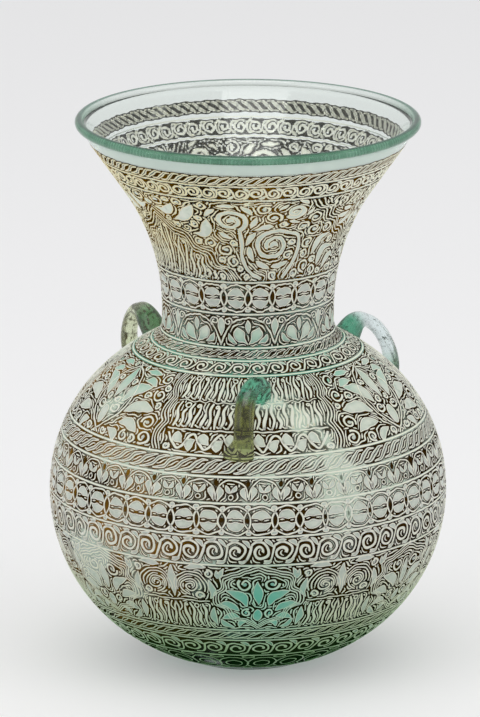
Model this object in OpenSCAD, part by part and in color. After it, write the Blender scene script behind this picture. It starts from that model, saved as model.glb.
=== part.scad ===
// Mosque lamp: a free-blown glass globe with a flared neck and a rounded lip,
// three trailed loop handles, and the oil cup with its wick holder inside.
// Millimetres, +Z up, origin on the axis in the plane the lamp stands on.
// The front handle faces -Y.

/* [Globe] */
// Widest outer diameter of the globe
globe_d = 200; // [190:1:215]
// Height of the shoulder's curve if it closed, as a share of half the width
shoulder_ratio = 0.9; // [0.85:0.005:0.96]
// Depth of the belly's curve if it closed, as a share of half the width
belly_ratio = 0.915; // [0.88:0.005:0.97]
// Fullness of the shoulder: its side's radius as a share of its height
shoulder_fullness = 0.922; // [0.86:0.002:0.97]
// Fullness of the belly: its side's radius as a share of its depth
belly_fullness = 0.962; // [0.9:0.002:0.98]
// How far the rounded bottom is pressed flat
base_flat = 5; // [3:0.5:7]
// Thickness of the blown wall
wall = 3; // [2:0.25:4]

/* [Base] */
// Diameter of the pushed-in hollow under the base
kick_d = 52; // [40:1:54]
// Height of the hollow under the base
kick_h = 6; // [3:0.5:8]
// Thickness of the glass over the hollow
kick_t = 3; // [2:0.5:5]
// Diameter of the flat floor inside, on which the oil cup stands
floor_d = 56; // [50:1:60]
// Slope of the floor's edge, from the vertical
floor_slope = 50; // [35:1:60]

/* [Neck] */
// Outer diameter of the neck where it is narrowest
neck_d = 86.4; // [82:0.2:94]
// Radius of the hollow curve between the neck and the shoulder
root_fillet_r = 10; // [7:0.5:13]
// Height of the straight foot of the neck
neck_straight = 6; // [3:0.5:12]
// Radius of the flare
flare_r = 110; // [95:1:125]
// Lean of the flare at its top, from the vertical
flare_angle = 35; // [30:0.5:38]
// Outer diameter of the mouth, over the lip
mouth_d = 172.6; // [164:0.2:182]
// Thickness of the rounded lip
lip_d = 4.6; // [4.2:0.1:6]

/* [Handles] */
// Turn of the front handle round the axis
front_turn = 1.5; // [-8:0.5:8]
// Turn of the right handle round the axis
right_turn = 119; // [110:1:130]
// Turn of the left handle round the axis
left_turn = -133; // [-140:1:-110]
// Place of the front handle's root, as a share of the shoulder's width
front_start_ratio = 0.31; // [0.25:0.005:0.35]
// Place of the right handle's root, as a share of the shoulder's width
right_start_ratio = 0.145; // [0.1:0.005:0.2]
// Place of the left handle's root, as a share of the shoulder's width
left_start_ratio = 0.24; // [0.18:0.005:0.28]
// Sideways lean of the front handle, root to foot
front_lean = 6; // [-12:0.5:12]
// Sideways lean of the right handle, root to foot
right_lean = -4; // [-12:0.5:12]
// Sideways lean of the left handle, root to foot
left_lean = 4; // [-12:0.5:12]
// Reach of the front handle in plan, as a share of the shoulder's width
front_reach_ratio = 0.405; // [0.36:0.005:0.45]
// Reach of the right handle in plan, as a share of the shoulder's width
right_reach_ratio = 0.485; // [0.44:0.005:0.53]
// Reach of the left handle in plan, as a share of the shoulder's width
left_reach_ratio = 0.345; // [0.3:0.005:0.4]
// Height of the front handle's middle line above the glass
front_rise = 11.5; // [10:0.5:15]
// Height of the right handle's middle line above the glass
right_rise = 10.5; // [10:0.5:15]
// Height of the left handle's middle line above the glass
left_rise = 16; // [12:0.5:17]
// Width of the strap
strap_w = 10; // [8:0.5:12]
// Thickness of the strap
strap_t = 7; // [5:0.25:7.5]
// Width of the blob at the root
root_w = 13; // [10:0.5:14]
// Thickness of the blob at the root
root_t = 15; // [10:0.5:16]
// Width of the pad at the foot
foot_w = 11; // [10:0.5:14]
// Length of the pinched tail at the side of the front handle's foot
front_tail = 5; // [0:0.5:8]
// Length of the pinched tail on the other two handles
side_tail = 1; // [0:0.5:8]

/* [Oil cup] */
// Outer diameter of the cup at its base
cup_base_d = 44; // [38:0.5:50]
// Height of the cup's wall
cup_h = 58; // [45:1:66]
// Radius of the cup's outward curve
cup_flare_r = 200; // [160:5:260]
// Thickness of the cup's wall
cup_wall = 2; // [1.5:0.1:3]
// Thickness of the cup's bottom
cup_bottom = 3; // [2:0.5:5]

/* [Wick holder] */
// Width of the metal strip over the cup
strip_w = 6; // [5:0.5:9]
// Thickness of the metal strip
strip_t = 1.2; // [0.8:0.1:2]
// Depth of the hooks at the strip's ends
hook_depth = 7; // [4:0.5:12]
// Width of the strip's eye round the tube
eye_w = 2.6; // [2:0.1:4]
// Inner diameter of the wick tube
tube_bore_d = 4.6; // [4:0.1:6]
// Thickness of the tube's wall
tube_wall = 0.8; // [0.6:0.1:1.2]
// Length of the tube below the strip
tube_below = 40; // [25:1:42]
// Length of the tube above the strip
tube_above = 6; // [3:0.5:12]
// Width of the soldered collar round the tube
collar_w = 1.6; // [1:0.1:2.5]
// Height of the soldered collar
collar_h = 1.4; // [0.8:0.1:3]
// Length of wick that stands out of the tube's top
wick_above = 7; // [4:0.5:12]
// Length of wick that hangs out of the tube's bottom
wick_below = 6; // [2:0.5:8]

/* [Clearances] */
// Gap between the metal strip and the cup
strip_gap = 0.3; // [0.2:0.05:0.6]
// Gap between the wick and its tube, all round
wick_gap = 0.3; // [0.2:0.05:0.6]

/* [Hidden] */
$fn = 96;
glass_green = [0.66, 0.76, 0.70];
lip_teal = [0.36, 0.54, 0.47];
handle_green = [0.45, 0.56, 0.40];
cup_glass = [0.74, 0.84, 0.80];
copper_alloy = [0.62, 0.43, 0.22];
wick_cotton = [0.88, 0.84, 0.74];

// The globe's outline is an oval of four arcs that run into each other.
globe_r = globe_d / 2;
globe_rise = shoulder_ratio * globe_r;
globe_drop = belly_ratio * globe_r;
shoulder_side_r = shoulder_fullness * globe_rise;
belly_side_r = belly_fullness * globe_drop;
equator_z = globe_drop - base_flat;
function side_x(side_r) = globe_r - side_r;
function cap_depth(h, side_r) =
    (pow(side_x(side_r), 2) - pow(h - side_r, 2)) / (2 * (h - side_r));
top_depth = cap_depth(globe_rise, shoulder_side_r);
top_r = globe_rise + top_depth;
top_c = [0, equator_z - top_depth];
shoulder_c = [side_x(shoulder_side_r), equator_z];
top_angle = atan2(top_depth, shoulder_c.x);
bottom_depth = cap_depth(globe_drop, belly_side_r);
bottom_r = globe_drop + bottom_depth;
bottom_c = [0, equator_z + bottom_depth];
belly_c = [side_x(belly_side_r), equator_z];
bottom_angle = -atan2(bottom_depth, belly_c.x);

// The neck stands on a hollow curve that touches both it and the shoulder.
neck_r = neck_d / 2;
fillet_x = neck_r + root_fillet_r;
fillet_c = [fillet_x,
            top_c.y + sqrt(pow(top_r + root_fillet_r, 2) - pow(fillet_x, 2))];
root_angle = atan2(fillet_c.y - top_c.y, fillet_c.x);
root_r = top_r * cos(root_angle);
shoulder_w = globe_r - neck_r;
neck_z = fillet_c.y;
flare_z = neck_z + neck_straight;
flare_c = [neck_r + flare_r, flare_z];

// The wall's middle line at the top of the flare, and the lip's centre.
lip_r = lip_d / 2;
flare_top = flare_c + (flare_r + wall / 2) * [-cos(flare_angle), sin(flare_angle)];
lip_set = sqrt(pow(lip_r, 2) - pow(wall / 2, 2));
lip_x = mouth_d / 2 - lip_r;
cone_l = (lip_x - flare_top.x) / sin(flare_angle) - lip_set;
lean = [sin(flare_angle), cos(flare_angle)];
across = [cos(flare_angle), -sin(flare_angle)];
neck_end = flare_top + cone_l * lean;
lip_c = neck_end + lip_set * lean;

// The bottom arc ends at the ring the lamp stands on. Inside, it ends where
// the floor's sloping edge meets it.
ring_angle = -asin(bottom_c.y / bottom_r);
dome_r = (pow(kick_d / 2, 2) + pow(kick_h, 2)) / (2 * kick_h);
kick_angle = acos(kick_d / 2 / dome_r);
floor_z = kick_h + kick_t;
floor_edge = [floor_d / 2, floor_z] - bottom_c;
edge_run = [sin(floor_slope), -cos(floor_slope)];
edge_dot = floor_edge * edge_run;
edge_l = sqrt(pow(edge_dot, 2) - floor_edge * floor_edge
              + pow(bottom_r - wall, 2)) - edge_dot;
edge_end = floor_edge + edge_l * edge_run;
floor_angle = atan2(edge_end.y, edge_end.x);

// The oil cup stands on the floor, and the strip lies over its rim.
cup_angle = asin(cup_h / cup_flare_r);
cup_c = [cup_base_d / 2 + cup_flare_r, floor_z];
cup_end = cup_c + (cup_flare_r + cup_wall / 2) * [-cos(cup_angle), sin(cup_angle)];
cup_rim_r = cup_end.x + cup_wall / 2;
strip_z = cup_end.y + cup_wall / 2 + strip_gap;
hook_x = cup_rim_r + strip_gap;
tube_r = tube_bore_d / 2 + tube_wall;
wick_r = tube_bore_d / 2 - wick_gap;

// Points along an arc round the centre c, from angle a0 to angle a1.
arc_step = 3.5;
function arc(c, r, a0, a1) =
    let (n = max(2, ceil(abs(a1 - a0) / arc_step)))
    [for (i = [0:n]) let (a = a0 + (a1 - a0) * i / n) c + r * [cos(a), sin(a)]];
function reversed(points) = [for (i = [1:len(points)]) points[len(points) - i]];

// The globe's profile, t inside its face: the shoulder from the neck's root down
// to the widest line, and the belly from there to end_angle on the bottom arc.
function shoulder_curve(t) = concat(
    arc(fillet_c, root_fillet_r + t, 180, 180 + root_angle),
    arc(top_c, top_r - t, root_angle, top_angle),
    arc(shoulder_c, shoulder_side_r - t, top_angle, 0));
function belly_curve(t, end_angle) = concat(
    arc(belly_c, belly_side_r - t, 0, bottom_angle),
    arc(bottom_c, bottom_r - t, bottom_angle, end_angle));
function kick_curve() = arc([0, kick_h - dome_r], dome_r, kick_angle, 90);

// The lower half of the globe, with the hollow under its base.
module globe_belly() {
    outside = concat(belly_curve(0, ring_angle), kick_curve());
    inside = concat(belly_curve(wall, floor_angle),
                    [[floor_d / 2, floor_z], [0, floor_z]]);
    color(glass_green) rotate_extrude()
        polygon(concat(outside, reversed(inside)));
}

// The upper half of the globe, up to the neck's root.
module globe_shoulder() {
    color(glass_green) rotate_extrude()
        polygon(concat(shoulder_curve(0), reversed(shoulder_curve(wall))));
}

// The shoulder filled in, which the handles are seated on.
module shoulder_block() {
    rotate_extrude()
        polygon(concat(shoulder_curve(0), [[0, equator_z], [0, neck_z]]));
}

// The neck's profile from its foot to its cut end, t inside its face.
function neck_curve(t) = concat(
    [[neck_r - t, neck_z]],
    reversed(arc(flare_c, flare_r + t, 180 - flare_angle, 180)),
    [neck_end + (wall / 2 - t) * across]);

module neck() {
    color(glass_green) rotate_extrude()
        polygon(concat(neck_curve(0), reversed(neck_curve(wall))));
}

module rim_lip() {
    color(lip_teal) rotate_extrude() intersection() {
        translate(lip_c) circle(lip_r);
        polygon([neck_end + lip_d * across, neck_end + lip_d * (across + 2 * lean),
                 neck_end + lip_d * (2 * lean - across), neck_end - lip_d * across]);
    }
}

// Height of the shoulder at the distance x from the axis, and its slope there.
arcs_meet_x = top_r * cos(top_angle);
function arc_centre(x) = x < arcs_meet_x ? top_c : shoulder_c;
function arc_radius(x) = x < arcs_meet_x ? top_r : shoulder_side_r;
function shoulder_z(x) =
    arc_centre(x).y + sqrt(pow(arc_radius(x), 2) - pow(x - arc_centre(x).x, 2));
function away(x) = ([x, shoulder_z(x)] - arc_centre(x)) / arc_radius(x);

// A handle's middle line: an arch over the shoulder, steeper at its root.
// Its run is where it starts, how far it reaches and how high it rises.
rings = 26;
sides = 14;
arch_bias = 1.5;
bury = 3;
function step_of(i) = i / (rings - 1);
function along(s) = pow((1 - cos(180 * s)) / 2, arch_bias);
function arch_point(s, run) =
    let (x = root_r + shoulder_w * (run.x + run.y * along(s)))
    [x, shoulder_z(x)] + ((run.z + bury) * sin(180 * s) - bury) * away(x);
function arch_turn(s, run) =
    let (d = arch_point(min(1, s + 0.01), run) - arch_point(max(0, s - 0.01), run))
    d / norm(d);
// Half sizes of the section along a handle, from root to foot.
function half_w(s) =
    lookup(s, [[0, root_w], [0.2, root_w], [0.42, strap_w], [0.72, strap_w],
               [0.92, foot_w], [1, foot_w]]) / 2;
function half_t(s) =
    lookup(s, [[0, root_t], [0.4, strap_t], [1, strap_t]]) / 2;
function pinch(s) = lookup(s, [[0.8, 0], [0.92, 1], [1, 1]]);
function section(s, v, tail) =
    [(half_w(s) + (cos(v) < 0 ? tail * pinch(s) : 0)) * cos(v), half_t(s) * sin(v)];
// Most of the sideways lean is in the root's short leg.
function lean_of(s) = pow(1 - along(s), 4) - 0.5;
function round_axis(x, side, z, turn) =
    [x * sin(turn) + side * cos(turn), side * sin(turn) - x * cos(turn), z];
function handle_vertex(i, j, turn, run, slant, tail) =
    let (s = step_of(i), p = arch_point(s, run), d = arch_turn(s, run),
         q = section(s, 360 * j / sides, tail), m = p + q.y * [-d.y, d.x])
    round_axis(m.x, q.x, m.y, turn + slant * lean_of(s));

// One trailed handle: a sweep along the arch, seated on the globe's outside.
module loop_handle(turn, run, slant, tail) {
    last = (rings - 1) * sides;
    points = [for (i = [0:rings - 1], j = [0:sides - 1])
              handle_vertex(i, j, turn, run, slant, tail)];
    walls = [for (i = [0:rings - 2], j = [0:sides - 1], k = [0, 1])
             let (a = i * sides + j, b = i * sides + (j + 1) % sides)
             k == 0 ? [a, b, a + sides] : [b, b + sides, a + sides]];
    ends = [for (j = [1:sides - 2], k = [0, 1])
            k == 0 ? [0, j + 1, j] : [last, last + j, last + j + 1]];
    difference() {
        polyhedron(points, concat(walls, ends), convexity = 6);
        shoulder_block();
    }
}

module handle_front() {
    run = [front_start_ratio, front_reach_ratio, front_rise];
    color(handle_green) loop_handle(front_turn, run, front_lean, front_tail);
}

module handle_right() {
    run = [right_start_ratio, right_reach_ratio, right_rise];
    color(handle_green) loop_handle(right_turn, run, right_lean, side_tail);
}

module handle_left() {
    run = [left_start_ratio, left_reach_ratio, left_rise];
    color(handle_green) loop_handle(left_turn, run, left_lean, side_tail);
}

// The cup's profile from its bottom to its rim, t inside its face.
function cup_curve(t) = reversed(arc(cup_c, cup_flare_r + t, 180 - cup_angle, 180));

module oil_cup() {
    rim = arc(cup_end, cup_wall / 2, -cup_angle, 180 - cup_angle);
    hollow = [[cup_base_d / 2 - cup_wall, floor_z + cup_bottom],
              [0, floor_z + cup_bottom], [0, floor_z]];
    inner = [for (p = reversed(cup_curve(cup_wall)))
             if (p.y > floor_z + cup_bottom) p];
    color(cup_glass) rotate_extrude()
        polygon(concat(cup_curve(0), rim, inner, hollow));
}

module wick_strip() {
    color(copper_alloy) difference() {
        union() {
            translate([-hook_x - strip_t, -strip_w / 2, strip_z])
                cube([2 * (hook_x + strip_t), strip_w, strip_t]);
            for (end = [-1, 1])
                translate([end * (hook_x + strip_t / 2) - strip_t / 2,
                           -strip_w / 2, strip_z - hook_depth])
                    cube([strip_t, strip_w, hook_depth]);
            translate([0, 0, strip_z]) cylinder(strip_t, r = tube_r + eye_w);
        }
        translate([0, 0, strip_z - strip_t]) cylinder(3 * strip_t, r = tube_r);
    }
}

module wick_tube() {
    color(copper_alloy) difference() {
        union() {
            translate([0, 0, strip_z - tube_below])
                cylinder(tube_below + strip_t + tube_above, r = tube_r);
            translate([0, 0, strip_z + strip_t])
                cylinder(collar_h, r = tube_r + collar_w);
        }
        translate([0, 0, strip_z - 2 * tube_below])
            cylinder(4 * tube_below, r = tube_bore_d / 2);
    }
}

module wick() {
    wick_bottom = strip_z - tube_below - wick_below;
    wick_top = strip_z + strip_t + tube_above + wick_above;
    color(wick_cotton) union() {
        translate([0, 0, wick_bottom])
            cylinder(wick_top - wick_r - wick_bottom, r = wick_r);
        translate([0, 0, wick_top - wick_r]) sphere(wick_r);
    }
}

globe_belly();
globe_shoulder();
neck();
rim_lip();
handle_front();
handle_right();
handle_left();
oil_cup();
wick_strip();
wick_tube();
wick();
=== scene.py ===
# %% [markdown]
# # A mosque lamp of blown glass
# The lamp is a bubble of pale green glass with a flared neck, three trailed
# loops for its chains, and an oil cup that lifts out through the mouth. Its
# whole outside is covered with bands of raised cream line work over a brown
# and gold ground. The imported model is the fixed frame, and each cell below
# dresses one part of it, in the same place and at the same size.

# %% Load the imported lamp
import math
import bpy
import numpy as np
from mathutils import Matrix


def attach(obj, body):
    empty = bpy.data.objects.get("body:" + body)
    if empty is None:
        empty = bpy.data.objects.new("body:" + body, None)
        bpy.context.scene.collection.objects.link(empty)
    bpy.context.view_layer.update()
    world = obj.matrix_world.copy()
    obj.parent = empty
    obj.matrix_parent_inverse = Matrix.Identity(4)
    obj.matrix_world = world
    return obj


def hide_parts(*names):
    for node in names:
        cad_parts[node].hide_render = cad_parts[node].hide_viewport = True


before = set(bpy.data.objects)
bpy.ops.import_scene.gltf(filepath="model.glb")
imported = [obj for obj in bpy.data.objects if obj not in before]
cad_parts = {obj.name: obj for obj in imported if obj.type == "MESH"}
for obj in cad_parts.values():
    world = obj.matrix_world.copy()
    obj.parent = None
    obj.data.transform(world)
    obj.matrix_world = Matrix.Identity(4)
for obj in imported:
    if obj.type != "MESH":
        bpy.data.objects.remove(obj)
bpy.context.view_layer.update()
MM = 0.001

# %% [markdown]
# ## The camera and the studio
# The lamp is seen from a little above, with a long lens, so its rim is a flat
# oval and its sides hardly converge. A camera close by with a short lens could
# frame the lamp too, but the rim would open up far too much.

# %% Camera
scene = bpy.context.scene
scene.view_settings.view_transform = "Standard"
CAMERA_DISTANCE = 3.97
CAMERA_HEIGHT_ANGLE = math.radians(15.0)
AIM_HEIGHT = 0.1531
AIM_SIDE = -0.004
LENS_MM, SENSOR_MM = 397.4, 36.0
lens_data = bpy.data.cameras.new("camera")
lens_data.lens = LENS_MM
lens_data.sensor_fit = "VERTICAL"
lens_data.sensor_height = SENSOR_MM
camera = bpy.data.objects.new("camera", lens_data)
scene.collection.objects.link(camera)
camera.location = (AIM_SIDE,
                   -CAMERA_DISTANCE * math.cos(CAMERA_HEIGHT_ANGLE),
                   AIM_HEIGHT + CAMERA_DISTANCE * math.sin(CAMERA_HEIGHT_ANGLE))
camera.rotation_euler = (math.pi / 2 - CAMERA_HEIGHT_ANGLE, 0.0, 0.0)
scene.camera = camera
print("camera at", tuple(round(v, 3) for v in camera.location))

# %% [markdown]
# A finish in Blender is a small tree of nodes that ends in one main shader. The
# nodes could be set by hand in the shader editor, but a script can be read and
# run again. Colours are written here as they look on a screen, from 0 to 255.
# The shader counts in amounts of light, so a helper changes one into the other
# along the screen's own curve: a short straight foot, and then a power.

# %% Material helpers
FOOT_END, FOOT_SLOPE = 0.04045, 12.92
CURVE_LIFT, CURVE_POWER = 0.055, 2.4


def linear(red, green, blue):
    """A colour given in screen values from 0 to 255, as the shader wants it."""
    screen = np.array([red, green, blue]) / 255.0
    foot = screen / FOOT_SLOPE
    curve = ((screen + CURVE_LIFT) / (1 + CURVE_LIFT)) ** CURVE_POWER
    return tuple(np.where(screen <= FOOT_END, foot, curve)) + (1.0,)


def new_finish(name):
    """A material, its node tree and its main shader."""
    made = bpy.data.materials.new(name)
    made.use_nodes = True
    tree = made.node_tree
    return made, tree, tree.nodes["Principled BSDF"]


def add_node(tree, kind, **sockets):
    """A node with some of its input sockets set; spaces are written as _."""
    made = tree.nodes.new(kind)
    for socket, value in sockets.items():
        made.inputs[socket.replace("_", " ")].default_value = value
    return made


print("a screen grey of 128 is", round(linear(128, 128, 128)[0], 3), "of full light")

# %% [markdown]
# The lamp stands on a pale floor that reaches so far that no edge shows. A
# curved paper roll is what a studio has, but it has a back. One large square
# lets the lamp be looked at from all sides. Its colour is close to that of a
# photographer's paper.

# %% Floor
FLOOR_HALF = 40.0
floor_mesh = bpy.data.meshes.new("studio_floor")
corners = [(x * FLOOR_HALF, y * FLOOR_HALF, 0.0)
           for x, y in ((-1, -1), (1, -1), (1, 1), (-1, 1))]
floor_mesh.from_pydata(corners, [], [(0, 1, 2, 3)])
studio_floor = bpy.data.objects.new("studio_floor", floor_mesh)
scene.collection.objects.link(studio_floor)
paper, _, paper_shader = new_finish("pale_paper")
paper_shader.inputs["Base Color"].default_value = linear(245, 245, 246)
paper_shader.inputs["Roughness"].default_value = 0.9
paper_shader.inputs["Specular IOR Level"].default_value = 0.1
floor_mesh.materials.append(paper)
print("floor of", 2 * FLOOR_HALF, "m")

# %% [markdown]
# The light is plain and soft: an even sky, a wide panel high in front and two
# small ones at the sides. Glass needs something bright to show in it, and broad
# panels give long quiet reflections and no hard sparkle. Real glass lets light
# through to the floor, but traced light is stopped by it. So only the floor
# blocks the front panel, and the lamp's shadow comes from the sky and the sides.

# %% Lights
LAMP_MIDDLE = np.array([0.0, 0.0, 0.14])
SIDE_SIZE, SIDE_WATTS = 1.4, 5.0
FRONT_SIZE, FRONT_WATTS = 3.0, 78.0
SKY_GREY, SKY_STRENGTH = 0.97, 0.65


def soft_panel(name, place, size, watts):
    """A square lamp that faces the middle of the lamp glass."""
    data = bpy.data.lights.new(name, "AREA")
    data.shape = "SQUARE"
    data.size = size
    data.energy = watts
    panel = bpy.data.objects.new(name, data)
    scene.collection.objects.link(panel)
    panel.location = place
    aim = LAMP_MIDDLE - np.array(place)
    turn = math.atan2(aim[0], -aim[1])
    lean = math.atan2(math.hypot(aim[0], aim[1]), -aim[2])
    panel.rotation_euler = (lean, 0.0, turn + math.pi)
    return panel


soft_panel("panel_left", (-1.6, -1.2, 1.2), SIDE_SIZE, SIDE_WATTS)
soft_panel("panel_right", (1.7, -1.0, 1.0), SIDE_SIZE, SIDE_WATTS)
front = soft_panel("panel_front", (-0.2, -1.5, 4.5), FRONT_SIZE, FRONT_WATTS)
blockers = bpy.data.collections.new("front_light_blockers")
blockers.objects.link(studio_floor)
front.light_linking.blocker_collection = blockers
world = bpy.data.worlds.new("studio_sky")
scene.world = world
world.use_nodes = True
sky = world.node_tree.nodes["Background"]
sky.inputs["Color"].default_value = (SKY_GREY, SKY_GREY, SKY_GREY, 1.0)
sky.inputs["Strength"].default_value = SKY_STRENGTH
print("front panel of", FRONT_WATTS, "W and two side panels of", SIDE_WATTS, "W")

# %% [markdown]
# ## The wall of the lamp
# The glass was blown as one bubble, so the whole wall is one turned shape: a
# side view spun round the axis. The side view could be traced as a free curve.
# Arcs that run into each other are chosen, the same ones as in the CAD model, so
# the size stays true. The visible glass lies a little inside that face, by
# RELIEF, which leaves room for the raised ornament within the model's own size.
# RISE and DROP are the heights over and under the widest line, and FLAT is what
# the base cuts off.

# %% Sizes of the wall, in millimetres
GLOBE_R = 100.0
RISE, DROP, FLAT = 90.0, 91.5, 5.0
SHOULDER_R, BELLY_R = 0.922 * RISE, 0.962 * DROP
EQUATOR = DROP - FLAT
WALL = 3.0
NECK_R, FILLET_R, NECK_STRAIGHT = 43.2, 10.0, 6.0
FLARE_R, FLARE_ANGLE = 110.0, 35.0
MOUTH_R, LIP_R = 86.3, 2.3
RELIEF = 0.28
print("globe", 2 * GLOBE_R, "mm wide, mouth", 2 * MOUTH_R, "mm wide")


# %% Centres and angles of the arcs
def cap_depth(height, side_r):
    """How far a cap's centre lies past the widest line."""
    gap = height - side_r
    return ((GLOBE_R - side_r) ** 2 - gap ** 2) / (2 * gap)


top_depth = cap_depth(RISE, SHOULDER_R)
top_r = RISE + top_depth
top_c = np.array([0.0, EQUATOR - top_depth])
shoulder_c = np.array([GLOBE_R - SHOULDER_R, EQUATOR])
top_angle = math.degrees(math.atan2(top_depth, shoulder_c[0]))
bottom_depth = cap_depth(DROP, BELLY_R)
bottom_r = DROP + bottom_depth
bottom_c = np.array([0.0, EQUATOR + bottom_depth])
belly_c = np.array([GLOBE_R - BELLY_R, EQUATOR])
bottom_angle = -math.degrees(math.atan2(bottom_depth, belly_c[0]))
ring_angle = -math.degrees(math.asin(bottom_c[1] / bottom_r))
fillet_x = NECK_R + FILLET_R
fillet_c = np.array([fillet_x, top_c[1] + math.sqrt(
    (top_r + FILLET_R) ** 2 - fillet_x ** 2)])
root_angle = math.degrees(math.atan2(fillet_c[1] - top_c[1], fillet_x))
root_r = top_r * math.cos(math.radians(root_angle))
flare_c = np.array([NECK_R + FLARE_R, fillet_c[1] + NECK_STRAIGHT])
lean_way = np.array([math.sin(math.radians(FLARE_ANGLE)),
                     math.cos(math.radians(FLARE_ANGLE))])
across_way = np.array([lean_way[1], -lean_way[0]])
flare_top = flare_c + (FLARE_R + WALL / 2) * np.array([-lean_way[1], lean_way[0]])
lip_set = math.sqrt(LIP_R ** 2 - (WALL / 2) ** 2)
cone_l = (MOUTH_R - LIP_R - flare_top[0]) / lean_way[0] - lip_set
neck_end = flare_top + cone_l * lean_way
lip_c = neck_end + lip_set * lean_way
print("neck root at", round(root_r, 1), "mm, lip", round(lip_c[1], 1), "mm up")

# %% Side view
CURVE_STEP = 1.5


def arc(centre, radius, start, end, step=CURVE_STEP):
    """Points on an arc, in degrees, one about every step millimetres."""
    length = abs(math.radians(end - start)) * radius
    count = max(3, int(length / step) + 1)
    angle = np.radians(np.linspace(start, end, count))
    return centre + radius * np.column_stack([np.cos(angle), np.sin(angle)])


def straight(start, end, step=CURVE_STEP):
    """Points on a straight line, one about every step millimetres."""
    count = max(2, int(np.linalg.norm(np.subtract(end, start)) / step) + 1)
    share = np.linspace(0, 1, count)[:, None]
    return np.asarray(start) * (1 - share) + np.asarray(end) * share


def wall_curve(depth, first_angle, step=CURVE_STEP):
    """The wall from its foot to the lip, at a depth inside its face."""
    rows = [
        arc(bottom_c, bottom_r - depth, first_angle, bottom_angle, step),
        arc(belly_c, BELLY_R - depth, bottom_angle, 0.0, step),
        arc(shoulder_c, SHOULDER_R - depth, 0.0, top_angle, step),
        arc(top_c, top_r - depth, top_angle, root_angle, step),
        arc(fillet_c, FILLET_R + depth, 180 + root_angle, 180.0, step),
        arc(flare_c, FLARE_R + depth, 180.0, 180 - FLARE_ANGLE, step)]
    cone_start = rows[-1][-1]
    rows.append(straight(cone_start, neck_end + (WALL / 2 - depth) * across_way, step))
    kept = [rows[0]] + [row[1:] for row in rows[1:]]
    return np.vstack(kept)


glass_face = wall_curve(RELIEF, ring_angle)
print("wall side view of", len(glass_face), "points")

# %% [markdown]
# Spinning is done here with plain arrays, one ring of points for each point of
# the side view. Blender's Screw modifier would spin it as well, but the same
# helper then also makes the lip, the cup and the thin coloured films.

# %% Spinning
TURNS = 240


def ring_points(side, turns):
    """Every point of a side view, carried round the axis."""
    angle = np.linspace(0, 2 * math.pi, turns, endpoint=False)
    radius = side[:, 0][None, :]
    x = radius * np.sin(angle)[:, None]
    y = -radius * np.cos(angle)[:, None]
    z = np.broadcast_to(side[:, 1][None, :], x.shape)
    return np.stack([x, y, z], axis=2).reshape(-1, 3)


def ring_faces(count, turns):
    """Four-sided faces between the rings; count points in the side view."""
    turn, row = np.meshgrid(np.arange(turns), np.arange(count), indexing="ij")
    after = (turn + 1) % turns
    above = (row + 1) % count
    faces = np.stack([turn * count + row, after * count + row,
                      after * count + above, turn * count + above], axis=2)
    return faces.reshape(-1, 4)


def spin(side, turns=TURNS):
    """A closed side view turned into a solid ring."""
    return ring_points(side, turns), ring_faces(len(side), turns)


print("the side view spun once is", TURNS * len(glass_face), "points")

# %% [markdown]
# A piece is a mesh object with one finish. It rides on a body of the packed
# model, so that it moves with it. A mesh can be filled from lists of points, but
# the ornament has nearly a million faces, and whole arrays are much quicker.


# %% Making a piece
def make_piece(name, points, faces, finish, body, soft=True):
    """A mesh object from arrays in millimetres, riding on a body."""
    mesh = bpy.data.meshes.new(name)
    mesh.vertices.add(len(points))
    mesh.vertices.foreach_set("co", (np.asarray(points) * MM).ravel())
    mesh.loops.add(faces.size)
    mesh.loops.foreach_set("vertex_index", faces.ravel().astype(np.int32))
    mesh.polygons.add(len(faces))
    starts = np.arange(0, faces.size, faces.shape[1], dtype=np.int32)
    mesh.polygons.foreach_set("loop_start", starts)
    mesh.polygons.foreach_set("use_smooth", np.full(len(faces), soft))
    mesh.update(calc_edges=True)
    mesh.validate()
    mesh.materials.append(finish)
    piece = bpy.data.objects.new(name, mesh)
    scene.collection.objects.link(piece)
    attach(piece, body)
    print(name, len(points), "points,", len(faces), "faces")
    return piece


print("pieces are drawn in millimetres and made in metres, by", MM)

# %% [markdown]
# A finish on old glass changes from place to place. Two kinds of value steer it:
# how high or how far round a spot lies, and clouds of noise. Both read the
# piece's own coordinates, so the look stays on the piece when it is moved. A
# painted image could do the same, but it would need an unwrapped surface.


# %% Links and ramps
def feed(tree, node, **sources):
    """Links outputs to the named inputs of a node; spaces are written as _."""
    for socket, source in sources.items():
        tree.links.new(source, node.inputs[socket.replace("_", " ")])


def on_piece(tree):
    """The place of a spot in the piece's own coordinates, in metres."""
    return add_node(tree, "ShaderNodeTexCoord").outputs["Object"]


def smooth(tree, value, low, high):
    """0 to 1 as a value goes from low to high, easing in and out."""
    ramp = add_node(tree, "ShaderNodeMapRange", From_Min=low, From_Max=high)
    ramp.interpolation_type = "SMOOTHSTEP"
    feed(tree, ramp, Value=value)
    return ramp.outputs["Result"]


def stretch(tree, value, low, high, to_low=0.0, to_high=1.0):
    """A value spread out, so that low to high becomes to_low to to_high."""
    ramp = add_node(tree, "ShaderNodeMapRange", From_Min=low, From_Max=high,
                    To_Min=to_low, To_Max=to_high)
    feed(tree, ramp, Value=value)
    return ramp.outputs["Result"]


print("made", ", ".join(helper.__name__ for helper in (feed, on_piece, smooth, stretch)))

# %% Places and clouds
CLOUD_LOW, CLOUD_HIGH = 0.35, 0.65


def place_ramp(tree, axis, low, high):
    """0 to 1 as a coordinate of the piece goes from low to high."""
    parts = add_node(tree, "ShaderNodeSeparateXYZ")
    feed(tree, parts, Vector=on_piece(tree))
    return smooth(tree, parts.outputs[axis], low, high)


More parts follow.
